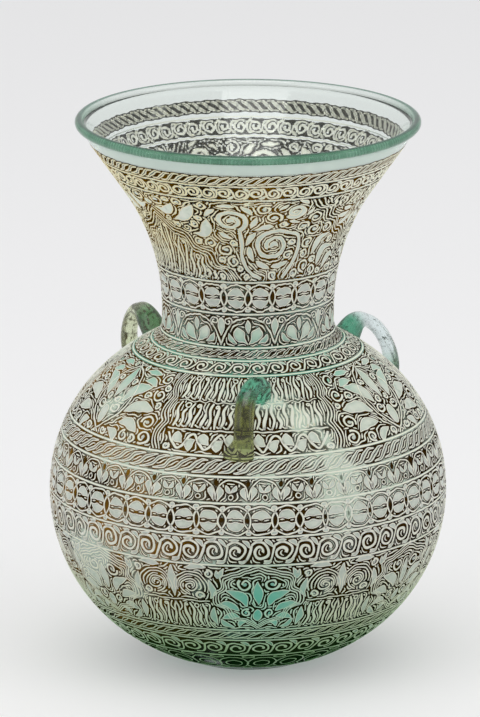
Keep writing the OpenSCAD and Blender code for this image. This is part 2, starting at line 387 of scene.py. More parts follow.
def spot_ramp(tree, centre, reach):
    """1 at a place on the piece, falling to 0 at a distance of reach."""
    away = add_node(tree, "ShaderNodeVectorMath")
    away.operation = "DISTANCE"
    away.inputs[1].default_value = centre
    tree.links.new(on_piece(tree), away.inputs[0])
    return smooth(tree, away.outputs["Value"], reach, 0.0)


def noise(tree, scale, detail=4.0, rough=0.55):
    """Cloudy values about one half, scale in clouds to the metre."""
    cloud = add_node(tree, "ShaderNodeTexNoise", Scale=scale, Detail=detail,
                     Roughness=rough)
    feed(tree, cloud, Vector=on_piece(tree))
    return cloud.outputs["Fac"]


def clouds(tree, scale, detail=4.0):
    """Cloudy values spread out from 0 to 1."""
    return stretch(tree, noise(tree, scale, detail), CLOUD_LOW, CLOUD_HIGH)


print("clouds use noise from", CLOUD_LOW, "to", CLOUD_HIGH)


# %% Mixing values and colours
def combine(tree, operation, first, second):
    """Two values put together by one operation."""
    result = add_node(tree, "ShaderNodeMath")
    result.operation = operation
    tree.links.new(first, result.inputs[0])
    tree.links.new(second, result.inputs[1])
    return result.outputs[0]


def product(tree, first, second):
    """Two values multiplied: high only where both are high."""
    return combine(tree, "MULTIPLY", first, second)


def larger(tree, first, second):
    """The larger of two values: high where either is high."""
    return combine(tree, "MAXIMUM", first, second)


def tint(tree, share, first, second):
    """first where share is 0 and second where it is 1; colours or outputs."""
    mix = add_node(tree, "ShaderNodeMix")
    mix.data_type = "RGBA"
    feed(tree, mix, Factor=share)
    colour_inputs = [socket for socket in mix.inputs if socket.type == "RGBA"]
    for socket, colour in zip(colour_inputs, (first, second)):
        if isinstance(colour, tuple):
            socket.default_value = colour
        else:
            tree.links.new(colour, socket)
    return [socket for socket in mix.outputs if socket.type == "RGBA"][0]


def bump(tree, shader, value, height):
    """A fine relief on the shader, height in metres."""
    relief = add_node(tree, "ShaderNodeBump", Distance=height, Strength=1.0)
    feed(tree, relief, Height=value)
    feed(tree, shader, Normal=relief.outputs["Normal"])


print("made", ", ".join(helper.__name__ for helper in (product, larger, tint, bump)))

# %% [markdown]
# The bowl's glass is milky from weathering and carries cloudy patches, while the
# neck is still clear and the band under the lip is milky again on the near side.
# Green deepens where the wall is thick: at the foot and in patches at the root of
# the neck. A spot of turquoise low on the front is painted light, for the light
# that comes through the thick base. The green could come from true thickness and
# absorption, but a plain tint by place is quicker to trace and easier to steer.
# The pairs of numbers are heights or depths in metres between which one look
# fades into another.

# %% Lamp glass
CLEAR_GLASS = linear(238, 245, 241)
FOOT_FADE = (0.085, 0.004)
# painted light: a turquoise spot low on the front stands for light that comes through the thick
# base
PAINTED_GLOW_PLACE, PAINTED_GLOW_REACH = (0.006, -0.094, 0.052), 0.045
ROOT_FADE_IN, ROOT_FADE_OUT = (0.14, 0.162), (0.186, 0.17)
MILK_FADE = (0.2, 0.15)
NEAR_FADE = (0.02, -0.03)
BAND_FADE = (0.2655, 0.2675)


def deepen_and_paint_glow(tree, colour, deep, painted_glow):
    """A colour that turns to deep at the foot and to a painted turquoise light at the low front.
    """
    lower = tint(tree, place_ramp(tree, "Z", *FOOT_FADE), colour, deep)
    # painted light: the turquoise spot at the low front
    return tint(tree, spot_ramp(tree, PAINTED_GLOW_PLACE, PAINTED_GLOW_REACH), lower, painted_glow)


def sea_green_root(tree, colour, teal):
    """A colour with patches of teal where the wall is thick at the neck's root."""
    belt = product(tree, place_ramp(tree, "Z", *ROOT_FADE_IN),
                   place_ramp(tree, "Z", *ROOT_FADE_OUT))
    patches = stretch(tree, noise(tree, 26.0, 2.0), 0.36, 0.54)
    return tint(tree, product(tree, belt, patches), colour, teal)


def lamp_glass():
    """Milky bowl, clear neck, deep green foot, sea green root and a painted turquoise light low at
    the front.
    """
    finish, tree, shader = new_finish("weathered_lamp_glass")
    milky = place_ramp(tree, "Z", *MILK_FADE)
    milk = tint(tree, clouds(tree, 34.0), linear(207, 222, 204), linear(227, 235, 223))
    pale = sea_green_root(tree, tint(tree, milky, CLEAR_GLASS, milk), linear(132, 200, 174))
    band = product(tree, place_ramp(tree, "Z", *BAND_FADE), place_ramp(tree, "Y", *NEAR_FADE))
    pale = tint(tree, band, pale, linear(226, 240, 233))
    # the deep green foot is the glass's own colour; the turquoise spot low at the front is painted
    # light
    colour = deepen_and_paint_glow(tree, pale, linear(20, 84, 54), linear(60, 176, 146))
    rough = stretch(tree, product(tree, noise(tree, 90.0), milky), 0.0, 0.7, 0.03, 0.28)
    clear = stretch(tree, larger(tree, milky, band), 0.0, 1.0, 0.97, 0.4)
    feed(tree, shader, Base_Color=colour, Roughness=rough, Transmission_Weight=clear)
    bump(tree, shader, noise(tree, 260.0, 3.0), 0.00004)
    shader.inputs["IOR"].default_value = 1.35
    return finish


weathered_glass = lamp_glass()
print("finish", weathered_glass.name, "of", len(weathered_glass.node_tree.nodes), "nodes")

# %% [markdown]
# The wall is spun as one closed shape with a true thickness: from the hollow
# under the base up the outside, and down the inside to the floor. A single face
# with a thickness modifier would be shorter, but the flat floor and the hollow
# differ from the outside, so both faces are drawn. A tiny hole at the axis keeps
# all faces four-sided.

# %% Lamp wall
KICK_R, KICK_H, KICK_T, FLOOR_R = 26.0, 6.0, 3.0, 28.0
FLOOR_Z = KICK_H + KICK_T
AXIS_HOLE = 0.4
WALL_STEP, FLOOR_STEP, WALL_TURNS = 2.5, 3.0, 256
dome_r = (KICK_R ** 2 + KICK_H ** 2) / (2 * KICK_H)
kick_angle = math.degrees(math.acos(KICK_R / dome_r))
floor_rim = math.sqrt((bottom_r - WALL) ** 2 - (bottom_c[1] - KICK_H) ** 2)
floor_angle = -math.degrees(math.acos(floor_rim / (bottom_r - WALL)))


def wall_outline():
    """The whole closed side view of the wall, from the axis round to the axis."""
    dome = arc(np.array([0.0, KICK_H - dome_r]), dome_r, 90.0, kick_angle, WALL_STEP)
    dome[0, 0] = AXIS_HOLE
    outside = wall_curve(RELIEF, ring_angle, WALL_STEP)
    foot = np.array([[outside[0, 0], 0.0]])
    inside = wall_curve(WALL, floor_angle, WALL_STEP)[::-1]
    floor = straight((FLOOR_R, FLOOR_Z), (AXIS_HOLE, FLOOR_Z), FLOOR_STEP)
    return np.vstack([dome, foot, outside, inside, floor])


wall_points, wall_faces = spin(wall_outline(), WALL_TURNS)
lamp_wall = make_piece("lamp_wall", wall_points, wall_faces, weathered_glass,
                       "lamp")
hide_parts("globe_belly", "globe_shoulder", "neck")

# %% [markdown]
# The lip was rounded in the fire and is the thickest glass of the mouth, so it
# looks dark sea green, almost solid, with a painted dark line along its top for
# the shade that its round edge bends in. At the back the light comes straight
# through it, so there it is painted pale and made clear. It could be a torus, but
# it is the same spun shape with a round section, so that it can be cut flat where
# it meets the wall.

# %% Lip
LIP_STEP, LIP_TURNS = 0.35, 288
# painted light: the lip turns pale towards the back, where light comes through it
LIP_BACKLIT_FADE = (-0.02, 0.06)
LIP_TOP_PAINTED_SHADE_FADE = (0.277, 0.2775)


def lip_glass():
    """Thick sea green glass, painted pale and made clearer at the back where light comes through,
    with a painted dark line of shade along the top.
    """
    finish, tree, shader = new_finish("fire_rounded_lip_glass")
    thick = tint(tree, clouds(tree, 60.0, 2.0), linear(92, 150, 122), linear(124, 178, 150))
    # painted light: thin marks the back of the lip, which is painted pale because light comes
    # through it, not because the glass is thinner
    thin = place_ramp(tree, "Y", *LIP_BACKLIT_FADE)
    colour = tint(tree, thin, thick, CLEAR_GLASS)
    # painted shade: a dark line along the top of the lip, for the shade bent in by its round edge
    colour = tint(tree, place_ramp(tree, "Z", *LIP_TOP_PAINTED_SHADE_FADE), colour, linear(64, 104, 88))
    rough = stretch(tree, noise(tree, 140.0), 0.3, 0.7, 0.03, 0.12)
    clear = stretch(tree, thin, 0.0, 1.0, 0.6, 0.95)
    feed(tree, shader, Base_Color=colour, Roughness=rough, Transmission_Weight=clear)
    shader.inputs["IOR"].default_value = 1.5
    return finish


cut = math.degrees(math.asin(lip_set / LIP_R))
lip_start = -FLARE_ANGLE - cut
lip_side = arc(lip_c, LIP_R, lip_start, lip_start + 180.0 + 2 * cut, LIP_STEP)
lip_points, lip_faces = spin(lip_side, LIP_TURNS)
lip = make_piece("rim_lip_glass", lip_points, lip_faces, lip_glass(), "lamp")
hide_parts("rim_lip")

# %% [markdown]
# ## Laying ornament on the glass
# Each band of ornament is drawn flat, as on paper, with x along the band and y
# up it in millimetres. One cell of the pattern is drawn and repeated round the
# lamp. Every stroke becomes a ribbon with real thickness that is bent on to the
# glass, so the relief is true from the outside and shows through the wall from
# the inside too. An image would be simpler, but it would have no thickness. The
# bending needs a map of the glass: for each distance up the wall, the place on
# the side view and the direction straight out of it.

# %% The glass as a map
steps_up = np.linalg.norm(np.diff(glass_face, axis=0), axis=1)
face_s = np.concatenate([[0.0], np.cumsum(steps_up)])
slope = np.gradient(glass_face, face_s, axis=0)
face_out = np.column_stack([slope[:, 1], -slope[:, 0]])
face_out /= np.linalg.norm(face_out, axis=1)[:, None]


def on_glass(angle, s, up):
    """Points at an angle round the lamp, s along its wall and up off the glass."""
    radius = np.interp(s, face_s, glass_face[:, 0]) + up * np.interp(s, face_s, face_out[:, 0])
    z = np.interp(s, face_s, glass_face[:, 1]) + up * np.interp(s, face_s, face_out[:, 1])
    return np.column_stack([radius * np.sin(angle), -radius * np.cos(angle), z])


print("glass map of", round(face_s[-1], 1), "mm up the wall")

# %% [markdown]
# Enamel was laid on thick and melted on to the glass, so a line has a flat top
# and sloping sides, and a leaf is lower and rounder. A section below lists its
# corners, each as a share of the stroke's half width and a height over the
# glass in millimetres. Blender's curves with a bevel could carry a section as
# well, but arrays are quick to bend, repeat and count.

# %% Sections of a stroke
LINE_LOW, LINE_HIGH = 0.02, 0.17
LEAF_LOW, LEAF_SIDE, LEAF_HIGH = 0.03, 0.09, 0.12
DARK_LOW, DARK_HIGH = 0.05, 0.085
SPLIT_LIFT = 0.075
LINE_SECTION = np.array([(1.0, LINE_LOW), (0.6, LINE_HIGH),
                         (-0.6, LINE_HIGH), (-1.0, LINE_LOW)])
LEAF_SECTION = np.array([(1.0, LEAF_LOW), (0.85, LEAF_SIDE), (0.35, LEAF_HIGH),
                         (-0.35, LEAF_HIGH), (-0.85, LEAF_SIDE), (-1.0, LEAF_LOW)])
DARK_SECTION = np.array([(1.0, DARK_LOW), (0.9, DARK_HIGH),
                         (-0.9, DARK_HIGH), (-1.0, DARK_LOW)])
SECTIONS = {"line": LINE_SECTION, "leaf": LEAF_SECTION, "dark": DARK_SECTION,
            "split": DARK_SECTION + (0.0, SPLIT_LIFT)}
print("sections of", {kind: len(section) for kind, section in SECTIONS.items()}, "corners")

# %% Ribbons
TINY = 1e-9


def side_of(points, closed):
    """The direction to the left of a path at each of its points."""
    if closed:
        along = np.roll(points, -1, axis=0) - np.roll(points, 1, axis=0)
    else:
        along = np.gradient(points, axis=0)
    along /= np.maximum(np.linalg.norm(along, axis=1), TINY)[:, None]
    return np.column_stack([-along[:, 1], along[:, 0]])


def tube_faces(rings, sides, closed=False):
    """Four-sided faces between rings of points, with ends unless it is closed."""
    row, part = np.meshgrid(np.arange(rings if closed else rings - 1),
                            np.arange(sides), indexing="ij")
    after, beside = (row + 1) % rings, (part + 1) % sides
    faces = np.stack([row * sides + part, row * sides + beside,
                      after * sides + beside, after * sides + part], axis=2).reshape(-1, 4)
    if closed:
        return faces
    ends = []
    for k in range(sides // 2 - 1):
        end = np.array([k, k + 1, sides - 2 - k, sides - 1 - k])
        ends.append(end[::-1])
        ends.append(end + (rings - 1) * sides)
    return np.vstack([faces, ends])


def ribbon(points, half, section, closed):
    """A path with thickness, as points (x, y, up) and four-sided faces."""
    count, parts = len(points), len(section)
    half = np.broadcast_to(half, (count,))
    reach = half[:, None, None] * section[None, :, 0:1]
    flat = points[:, None, :] + side_of(points, closed)[:, None, :] * reach
    up = np.broadcast_to(section[None, :, 1:2], (count, parts, 1))
    vertices = np.concatenate([flat, up], axis=2).reshape(-1, 3)
    return vertices, tube_faces(count, parts, closed)


print("a closed line of 100 points has", len(tube_faces(100, len(LINE_SECTION), True)), "faces")

# %% [markdown]
# The painter's hand made only a few kinds of path: soft curves, rings and
# spirals. They could be drawn with the mouse as curve objects. A few points with
# a soft curve through them say the same in one line, and a drawing made this way
# stretches with the width and height of its cell.

# %% Curves
STROKE_STEP, OVAL_STEP, COIL_STEP = 0.9, 0.8, 0.75
LEAST_POINTS, LEAST_HALF = 10, 0.06


def soft_curve(points, step=STROKE_STEP):
    """A smooth curve through some points."""
    p = np.asarray(points, float)
    p = np.vstack([2 * p[0] - p[1], p, 2 * p[-1] - p[-2]])
    rows = []
    for i in range(1, len(p) - 2):
        a, b, c, d = p[i - 1:i + 3]
        count = max(2, int(np.linalg.norm(c - b) / step) + 1)
        t = np.linspace(0, 1, count, endpoint=False)[:, None]
        rows.append(b + 0.5 * t * (c - a + t * (2 * a - 5 * b + 4 * c - d
                                                + t * (3 * (b - c) + d - a))))
    return np.vstack(rows + [p[-2:-1]])


def oval(x, y, half_x, half_y):
    """A closed oval."""
    count = max(LEAST_POINTS, int(math.pi * (half_x + half_y) / OVAL_STEP))
    angle = np.linspace(0, 2 * math.pi, count, endpoint=False)
    return np.column_stack([x + half_x * np.cos(angle), y + half_y * np.sin(angle)])


def coil(x, y, start_r, end_r, start, turns):
    """A spiral from start_r to end_r, beginning at an angle in degrees."""
    length = abs(turns) * math.pi * (start_r + end_r)
    count = max(LEAST_POINTS, int(length / COIL_STEP))
    share = np.linspace(0, 1, count)
    angle = np.radians(start + 360 * turns * share)
    radius = start_r + (end_r - start_r) * share
    return np.column_stack([x + radius * np.cos(angle), y + radius * np.sin(angle)])


def swell(count, half, peak=0.5, least=LEAST_HALF):
    """Half widths that swell from a point to half and taper off again."""
    share = np.linspace(0, 1, count) ** (math.log(0.5) / math.log(peak))
    return least + (half - least) * np.sin(math.pi * share)


print("a ring 10 mm wide has", len(oval(0.0, 0.0, 5.0, 5.0)), "points")

# %% [markdown]
# A stroke is kept as its kind, its path, its half width and whether it is
# closed. A line is cream, and a leaf is a pale glassy body with a cream line
# round it. A slit is a dark spot in a pale shape. Strokes can be turned over,
# mirrored or moved, so half of a motif is enough to draw all of it.

# %% Lines, leaves and pods
STROKE = 0.42
LEAF_EDGE = 0.27
STEM_STEP, SLIT_STEP, POD_POINTS = 1.1, 0.7, 12


def line(points, half=STROKE, closed=False):
    """One cream stroke."""
    return [("line", np.asarray(points, float), half, closed)]


def body(points, half):
    """A pale glassy shape with a cream line round it."""
    side = side_of(points, False) * np.asarray(half)[:, None]
    rim = np.vstack([points + side, (points - side)[::-1]])
    return [("leaf", points, half, False), ("line", rim, LEAF_EDGE, True)]


def leaf(points, half, peak=0.55):
    """A leaf that swells along a soft stem."""
    stem = soft_curve(points, STEM_STEP)
    return body(stem, swell(len(stem), half, peak))


def placed_leaves(table, x=0.0, tall=1.0):
    """Leaves from rows of stem points and a half width, at x and tall times as high."""
    shapes = []
    for *stem, half in table:
        shapes += leaf([(x + across, up * tall) for across, up in stem], half)
    return shapes


def pod(x0, y0, x1, y1, half):
    """A round-ended pod between two points."""
    share = -np.cos(np.linspace(0, math.pi, POD_POINTS))
    middle = np.array([x0 + x1, y0 + y1]) / 2
    reach = np.array([x1 - x0, y1 - y0]) / 2
    stem = middle + share[:, None] * reach
    return body(stem, np.maximum(half * np.sqrt(1 - share ** 2), LEAST_HALF))


def slit(x0, y0, x1, y1, half):
    """A dark pointed slit between two points."""
    stem = straight((x0, y0), (x1, y1), SLIT_STEP)
    return [("dark", stem, swell(len(stem), half), False)]


print("a leaf is made of", [kind for kind, *_ in leaf([(0, 0), (1, 4), (0, 9)], 1.5)])


# %% Turned, mirrored and moved strokes
def turned_over(shapes, change):
    """The same strokes with their points changed, run the other way."""
    made = []
    for kind, points, half, closed in shapes:
        half = np.broadcast_to(half, (len(points),))
        made.append((kind, change(points)[::-1], half[::-1], closed))
    return made


def flipped(shapes, h):
    """The same strokes upside down in a band of height h."""
    return turned_over(shapes, lambda p: np.column_stack([p[:, 0], h - p[:, 1]]))


def mirrored(shapes, x):
    """The same strokes mirrored about an upright line."""
    return turned_over(shapes, lambda p: np.column_stack([2 * x - p[:, 0], p[:, 1]]))


def moved(shapes, x):
    """The same strokes moved along the band."""
    return [(kind, points + np.array([x, 0.0]), half, closed)
            for kind, points, half, closed in shapes]


print("a line from 1 to 2, mirrored about 0, ends at",
      mirrored(line([(1, 0), (2, 0)]), 0.0)[0][1][-1])

# %% [markdown]
# On the lamp the leaves lie side by side. Where two drawn leaves would lie on
# each other, both would also be at the same height and flicker in the render.
# They could be moved apart by hand. Here the later leaf of such a pair is simply
# left out, with its line, and the gap is filled by small strokes.

# %% Leaves kept apart
DEEP, MOST_OVERLAP = 0.5, 0.25


def lies_on(points, half, other_points, other_half, w):
    """Whether a good share of one leaf lies on another, in cells of width w."""
    between = points[:, None, :] - other_points[None, :, :]
    across = (between[:, :, 0] + w / 2) % w - w / 2
    distance = np.hypot(across, between[:, :, 1])
    gap = (distance - other_half[None, :]).min(axis=1) - half
    return np.mean(gap < -DEEP) > MOST_OVERLAP


def spaced(shapes, w):
    """The same strokes without the leaves that would lie on earlier leaves."""
    kept, leaves, rim_next = [], [], False
    for kind, points, half, closed in shapes:
        if kind == "leaf":
            half = np.broadcast_to(half, (len(points),))
            rim_next = any(lies_on(points, half, *other, w) for other in leaves)
            if rim_next:
                continue
            leaves.append((points, half))
        elif rim_next:
            rim_next = False
            continue
        kept.append((kind, points, half, closed))
    return kept


print("a leaf goes if over", MOST_OVERLAP, "of it lies", DEEP, "mm deep in another")

# %% [markdown]
# The painter left no empty space: every gap between the large forms holds a
# scroll or fine strokes that run along it. Placing hundreds of these by hand
# would take days. Here a map of free distances does it: the widest gap is
# found, a stroke is drawn along its middle, the map is brought up to date, and
# so on until only narrow brown gaps are left.

# %% Free room in a cell
CELL = 0.45
LEAST_CELLS = 8
LOOK = 8.0
EDGE_ROOM = 0.2
OUTSIDE = -1.0


def mark_round(free, steps, place, reach):
    """Lowers the free distances round one place of a stroke."""
    first = np.floor((place - LOOK) / steps).astype(int)
    last = np.ceil((place + LOOK) / steps).astype(int)
    columns = np.arange(first[0], last[0])
    rows = np.arange(max(0, first[1]), min(free.shape[1], last[1]))
    across = (columns + 0.5) * steps[0] - place[0]
    upward = (rows + 0.5) * steps[1] - place[1]
    distance = np.hypot(across[:, None], upward[None, :]) - reach
    np.minimum.at(free, np.ix_(columns % free.shape[0], rows), distance)


def mark_strokes(free, steps, shapes):
    """Lowers the free distances round some strokes."""
    for kind, points, half, closed in shapes:
        for place, reach in zip(points, np.broadcast_to(half, (len(points),))):
            mark_round(free, steps, place, reach)


def free_map(shapes, w, h, cell=CELL):
    """The distance from each spot of a band to the nearest stroke or edge."""
    counts = np.maximum(np.array([w, h]) / cell, LEAST_CELLS).astype(int)
    steps = np.array([w, h]) / counts
    y = (np.arange(counts[1]) + 0.5) * steps[1]
    free = np.tile(np.minimum(y, h - y) + EDGE_ROOM, (counts[0], 1))
    mark_strokes(free, steps, shapes)
    return free, steps


def free_at(free, steps, place):
    """The free distance at a place; none outside the band."""
    column, row = np.floor(place / steps).astype(int)
    if row < 0 or row >= free.shape[1]:
        return OUTSIDE
    return free[column % free.shape[0], row]


print("an empty cell of 20 by 10 mm has", round(free_map([], 20.0, 10.0)[0].max(), 2),
      "mm free in its middle")

# %% Scrolls
SCROLL_INSET, SCROLL_TURNS = 0.55, 1.1


def scroll(x, y, r, start, hand):
    """A stem coiled in a circle of radius r, with a leaf at its end."""
    stem = coil(x, y, r - SCROLL_INSET, 0.4 * r, start, SCROLL_TURNS * hand)
    end = stem[-1]
    middle = np.array([x, y])
    tip = middle + 0.55 * (middle - end)
    drop = soft_curve([end, middle, tip], 0.8)
    return [("line", stem, np.linspace(0.62, 0.5, len(stem)), False),
            ("leaf", drop, swell(len(drop), 0.24 * r, 0.55, 0.2), False)]


print("a scroll in a ring of 4 mm has a stem of", len(scroll(0.0, 0.0, 4.0, 0.0, 1)[0][1]),
      "points")

# %% Fine strokes
LEAST_GAP = 0.78
NARROW = 0.8
FINE_HALF, FINE_END, FINE_STEP, FINE_COUNT = 0.42, 0.2, 1.0, 8
BENDS = np.radians([-50.0, -25.0, 0.0, 25.0, 50.0])
COMPASS = np.arange(8) * math.pi / 4
LOOK_OUT = 1.5
SEED_HALF, SEED_POINTS = 0.7, 4


def follow_gap(free, steps, place, heading):
    """Places along the middle of a gap, until it narrows."""
    path = [place]
    for _ in range(FINE_COUNT):
        ways = heading + BENDS
        ends = place + FINE_STEP * np.column_stack([np.cos(ways), np.sin(ways)])
        rooms = [free_at(free, steps, end) for end in ends]
        best = int(np.argmax(rooms))
        if rooms[best] < NARROW * LEAST_GAP:
            break
        heading, place = ways[best], ends[best]
        path.append(place)
    return path


def fine_stroke(free, steps, place):
    """A thin stroke both ways along a gap, or a seed where it is short."""
    rooms = [free_at(free, steps, place + LOOK_OUT * np.array([math.cos(a), math.sin(a)]))
             for a in COMPASS]
    heading = COMPASS[int(np.argmax(rooms))]
    one = follow_gap(free, steps, place, heading)
    other = follow_gap(free, steps, place, heading + math.pi)
    path = np.array(other[:0:-1] + one)
    if len(path) < 3:
        way = np.array([math.cos(heading), math.sin(heading)])
        path = place + np.linspace(-SEED_HALF, SEED_HALF, SEED_POINTS)[:, None] * way
    else:
        path[1:-1] = (path[:-2] + 2 * path[1:-1] + path[2:]) / 4
    return [("line", path, swell(len(path), FINE_HALF, 0.5, FINE_END), False)]


print("gaps over", 2 * LEAST_GAP, "mm wide get a stroke")

# %% Filling a cell
GAP = 0.4
SCROLL_ROOM, SCROLL_MOST = 2.6, 4.6
GOLDEN_ANGLE = 137.5
MOST_STROKES = 1500


def fill_gaps(shapes, w, h):
    """Scrolls, fine strokes and seeds for the gaps between some strokes."""
    free, steps = free_map(shapes, w, h)
    made = []
    for k in range(MOST_STROKES):
        spot = np.array(np.unravel_index(np.argmax(free), free.shape))
        room = free[tuple(spot)]
        if room < LEAST_GAP:
            break
        x, y = (spot + 0.5) * steps
        hand = 1 if k % 2 else -1
        if room > SCROLL_ROOM:
            new = scroll(x, y, min(room, SCROLL_MOST) - GAP, GOLDEN_ANGLE * k, hand)
        else:
            new = fine_stroke(free, steps, np.array([x, y]))
        made += new
        mark_strokes(free, steps, new)
    return made


print("an empty cell of 20 by 10 mm takes", len(fill_gaps([], 20.0, 10.0)), "strokes")

# %% [markdown]
# ## The narrow bands
# Twisted rope, running coils, linked rings and a row of little arches turn up
# again and again between the wide bands, as on much metalwork and glass of this
# tradition. Each could be modelled once and set in an array. Here each is one
# short function of its cell's width w and height h, so a band is one line
# further down, and the numbers are shares of the cell.

# %% Rope and coils
THIN, FINE, BOLD = 0.3, 0.34, 0.5


def rope(w, h):
    """One strand of a twisted rope."""
    half = [(0.0, 0.5 * h), (0.25 * w, 0.68 * h), (0.6 * w, 0.82 * h), (1.1 * w, 0.87 * h)]
    strand = soft_curve([(-x, h - y) for x, y in half[:0:-1]] + half)
    split = ("split", strand[3:-3], swell(len(strand) - 6, 0.2, 0.5, 0.1), False)
    return body(strand, swell(len(strand), 0.1 * h, 0.5, 0.15)) + [split]


def thin_rope(w, h):
    """One strand of a rope drawn with two thin lines."""
    strand = rope(w, h)[0][1]
    return line(strand, THIN) + line(strand + (0.34 * w, 0.0), THIN)


def running_coil(w, h, weight=1.0):
    """A wave that runs along the foot of the band and curls over."""
    r = min(0.43 * h, 0.47 * w)
    x, y = 0.5 * w, 0.5 * h
    curl = coil(x, y, r, 0.26 * r, 140.0, -1.45)
    tail = [(-0.36 * w, 0.12 * h), (-0.1 * w, 0.15 * h), (0.03 * w, 0.36 * h)]
    shapes = line(soft_curve(tail + [tuple(curl[0])]), 0.13 * weight * r)
    shapes += line(curl, np.linspace(0.13, 0.17, len(curl)) * weight * r)
    shapes += leaf([(-0.28 * w, 0.93 * h), (-0.06 * w, 0.84 * h), (0.06 * w, 0.68 * h)],
                   0.07 * h, 0.45)
    return shapes


def thin_coil(w, h):
    """A running coil in thin lines."""
    return running_coil(w, h, 0.8)


def bold_coil(w, h):
    """Two bold coils, one from below and one from above."""
    first = running_coil(w / 2, h, 1.1)
    return first + moved(flipped(first, h), w / 2)


def tall_coil(w, h):
    """A running coil in a tall band, with leaves over and under it."""
    shapes = running_coil(w, h, 0.95)
    shapes += leaf([(0.2 * w, 0.95 * h), (0.42 * w, 0.93 * h), (0.62 * w, 0.97 * h)], 0.045 * h)
    shapes += leaf([(0.62 * w, 0.05 * h), (0.82 * w, 0.07 * h), (1.0 * w, 0.16 * h)], 0.045 * h)
    return shapes


print("strokes in a cell: rope", len(rope(6.0, 6.0)), "and coil", len(running_coil(12.0, 8.0)))


# %% Rings
def thin_ring(w, h):
    """A ring that touches its neighbours, with a smaller ring in it."""
    shapes = line(oval(0.5 * w, 0.5 * h, 0.52 * w, 0.4 * h), FINE, True)
    shapes += line(oval(0.5 * w, 0.5 * h, 0.3 * w, 0.2 * h), FINE, True)
    for y in (0.06, 0.94):
        shapes += line(oval(0.0, y * h, 0.2 * w, 0.06 * h), THIN, True)
    return shapes


def linked_ring(w, h):
    """A ring that overlaps its neighbours, with two lobes in it and a slit beside it."""
    shapes = line(oval(0.5 * w, 0.5 * h, 0.63 * w, 0.45 * h), BOLD, True)
    lobe = leaf([(0.16 * w, 0.58 * h), (0.36 * w, 0.68 * h), (0.64 * w, 0.68 * h),
                 (0.84 * w, 0.58 * h)], 0.135 * h, 0.5)
    shapes += lobe + flipped(lobe, h)
    shapes += slit(0.0, 0.42 * h, 0.0, 0.58 * h, 0.03 * w)
    for y in (0.09, 0.91):
        shapes += pod(-0.1 * w, y * h, 0.1 * w, y * h, 0.055 * h)
    return shapes


print("strokes in a cell: thin ring", len(thin_ring(20.0, 12.0)), "and linked ring",
      len(linked_ring(13.0, 15.0)))


# %% Arches and swags
def little_arch(w, h):
    """An arch from slit to slit, with a heart at its foot and an eye under it."""
    foot = (0.5 * w, 0.12 * h)
    span = arc(np.array(foot), 1.0, 180.0, 0.0, 0.05)
    span = (span - foot) * (0.5 * w, 0.82 * h) + foot
    shapes = line(span[::3])
    heart = leaf([(0.04 * w, 0.06 * h), (0.12 * w, 0.28 * h), (0.17 * w, 0.5 * h),
                  (0.12 * w, 0.64 * h)], 0.085 * w, 0.66)
    shapes += heart + mirrored(heart, 0.0)
    shapes += slit(0.0, 0.16 * h, 0.0, 0.56 * h, 0.06 * w)
    shapes += slit(0.0, 0.66 * h, 0.0, 0.92 * h, 0.05 * w)
    shapes += line(oval(0.5 * w, 0.22 * h, 0.1 * h, 0.1 * h), FINE, True)
    shapes += slit(0.47 * w, 0.22 * h, 0.53 * w, 0.22 * h, 0.05 * h)
    bud = leaf([(0.5 * w, 0.4 * h), (0.38 * w, 0.55 * h), (0.34 * w, 0.72 * h)], 0.06 * w)
    shapes += bud + mirrored(bud, 0.5 * w)
    return shapes


def festoon(w, h):
    """A wide swag with a heart-shaped leaf in it and curls at its feet."""
    swag = soft_curve([(0.0, 0.05 * h), (0.1 * w, 0.5 * h), (0.28 * w, 0.84 * h),
                       (0.5 * w, 0.93 * h), (0.72 * w, 0.84 * h), (0.9 * w, 0.5 * h),
                       (w, 0.05 * h)])
    shapes = line(swag, BOLD)
    half = leaf([(0.49 * w, 0.08 * h), (0.36 * w, 0.3 * h), (0.3 * w, 0.62 * h)],
                0.1 * w, 0.65)
    half += leaf([(0.3 * w, 0.1 * h), (0.19 * w, 0.22 * h), (0.14 * w, 0.4 * h)], 0.045 * w)
    shapes += half + mirrored(half, 0.5 * w)
    shapes += leaf([(0.5 * w, 0.42 * h), (0.5 * w, 0.6 * h), (0.5 * w, 0.84 * h)], 0.05 * w)
    side = line(coil(0.13 * w, 0.8 * h, 0.09 * w, 0.02 * w, -60.0, 1.4))
    shapes += side + mirrored(side, 0.0)
    shapes += leaf([(0.0, 0.92 * h), (0.0, 0.66 * h), (0.0, 0.36 * h)], 0.06 * w, 0.4)
    return shapes


print("strokes in a cell: arch", len(little_arch(16.0, 11.0)), "and swag",
      len(festoon(28.0, 16.0)))

# %% [markdown]
# ## The wide bands
# The shoulder and the neck carry framed panels between big leaf medallions and
# curling vines. The panels are filled with rows of upright reeds and curls, an
# ornament with no meaning beyond its rhythm. A row could be drawn reed by reed,
# but four kinds that follow each other in a fixed order look as lively.

# %% One reed
PLAIN, CURLED, RINGED, FORKED = range(4)
REED_BEND = 0.5
FORK_SHARE = 0.42


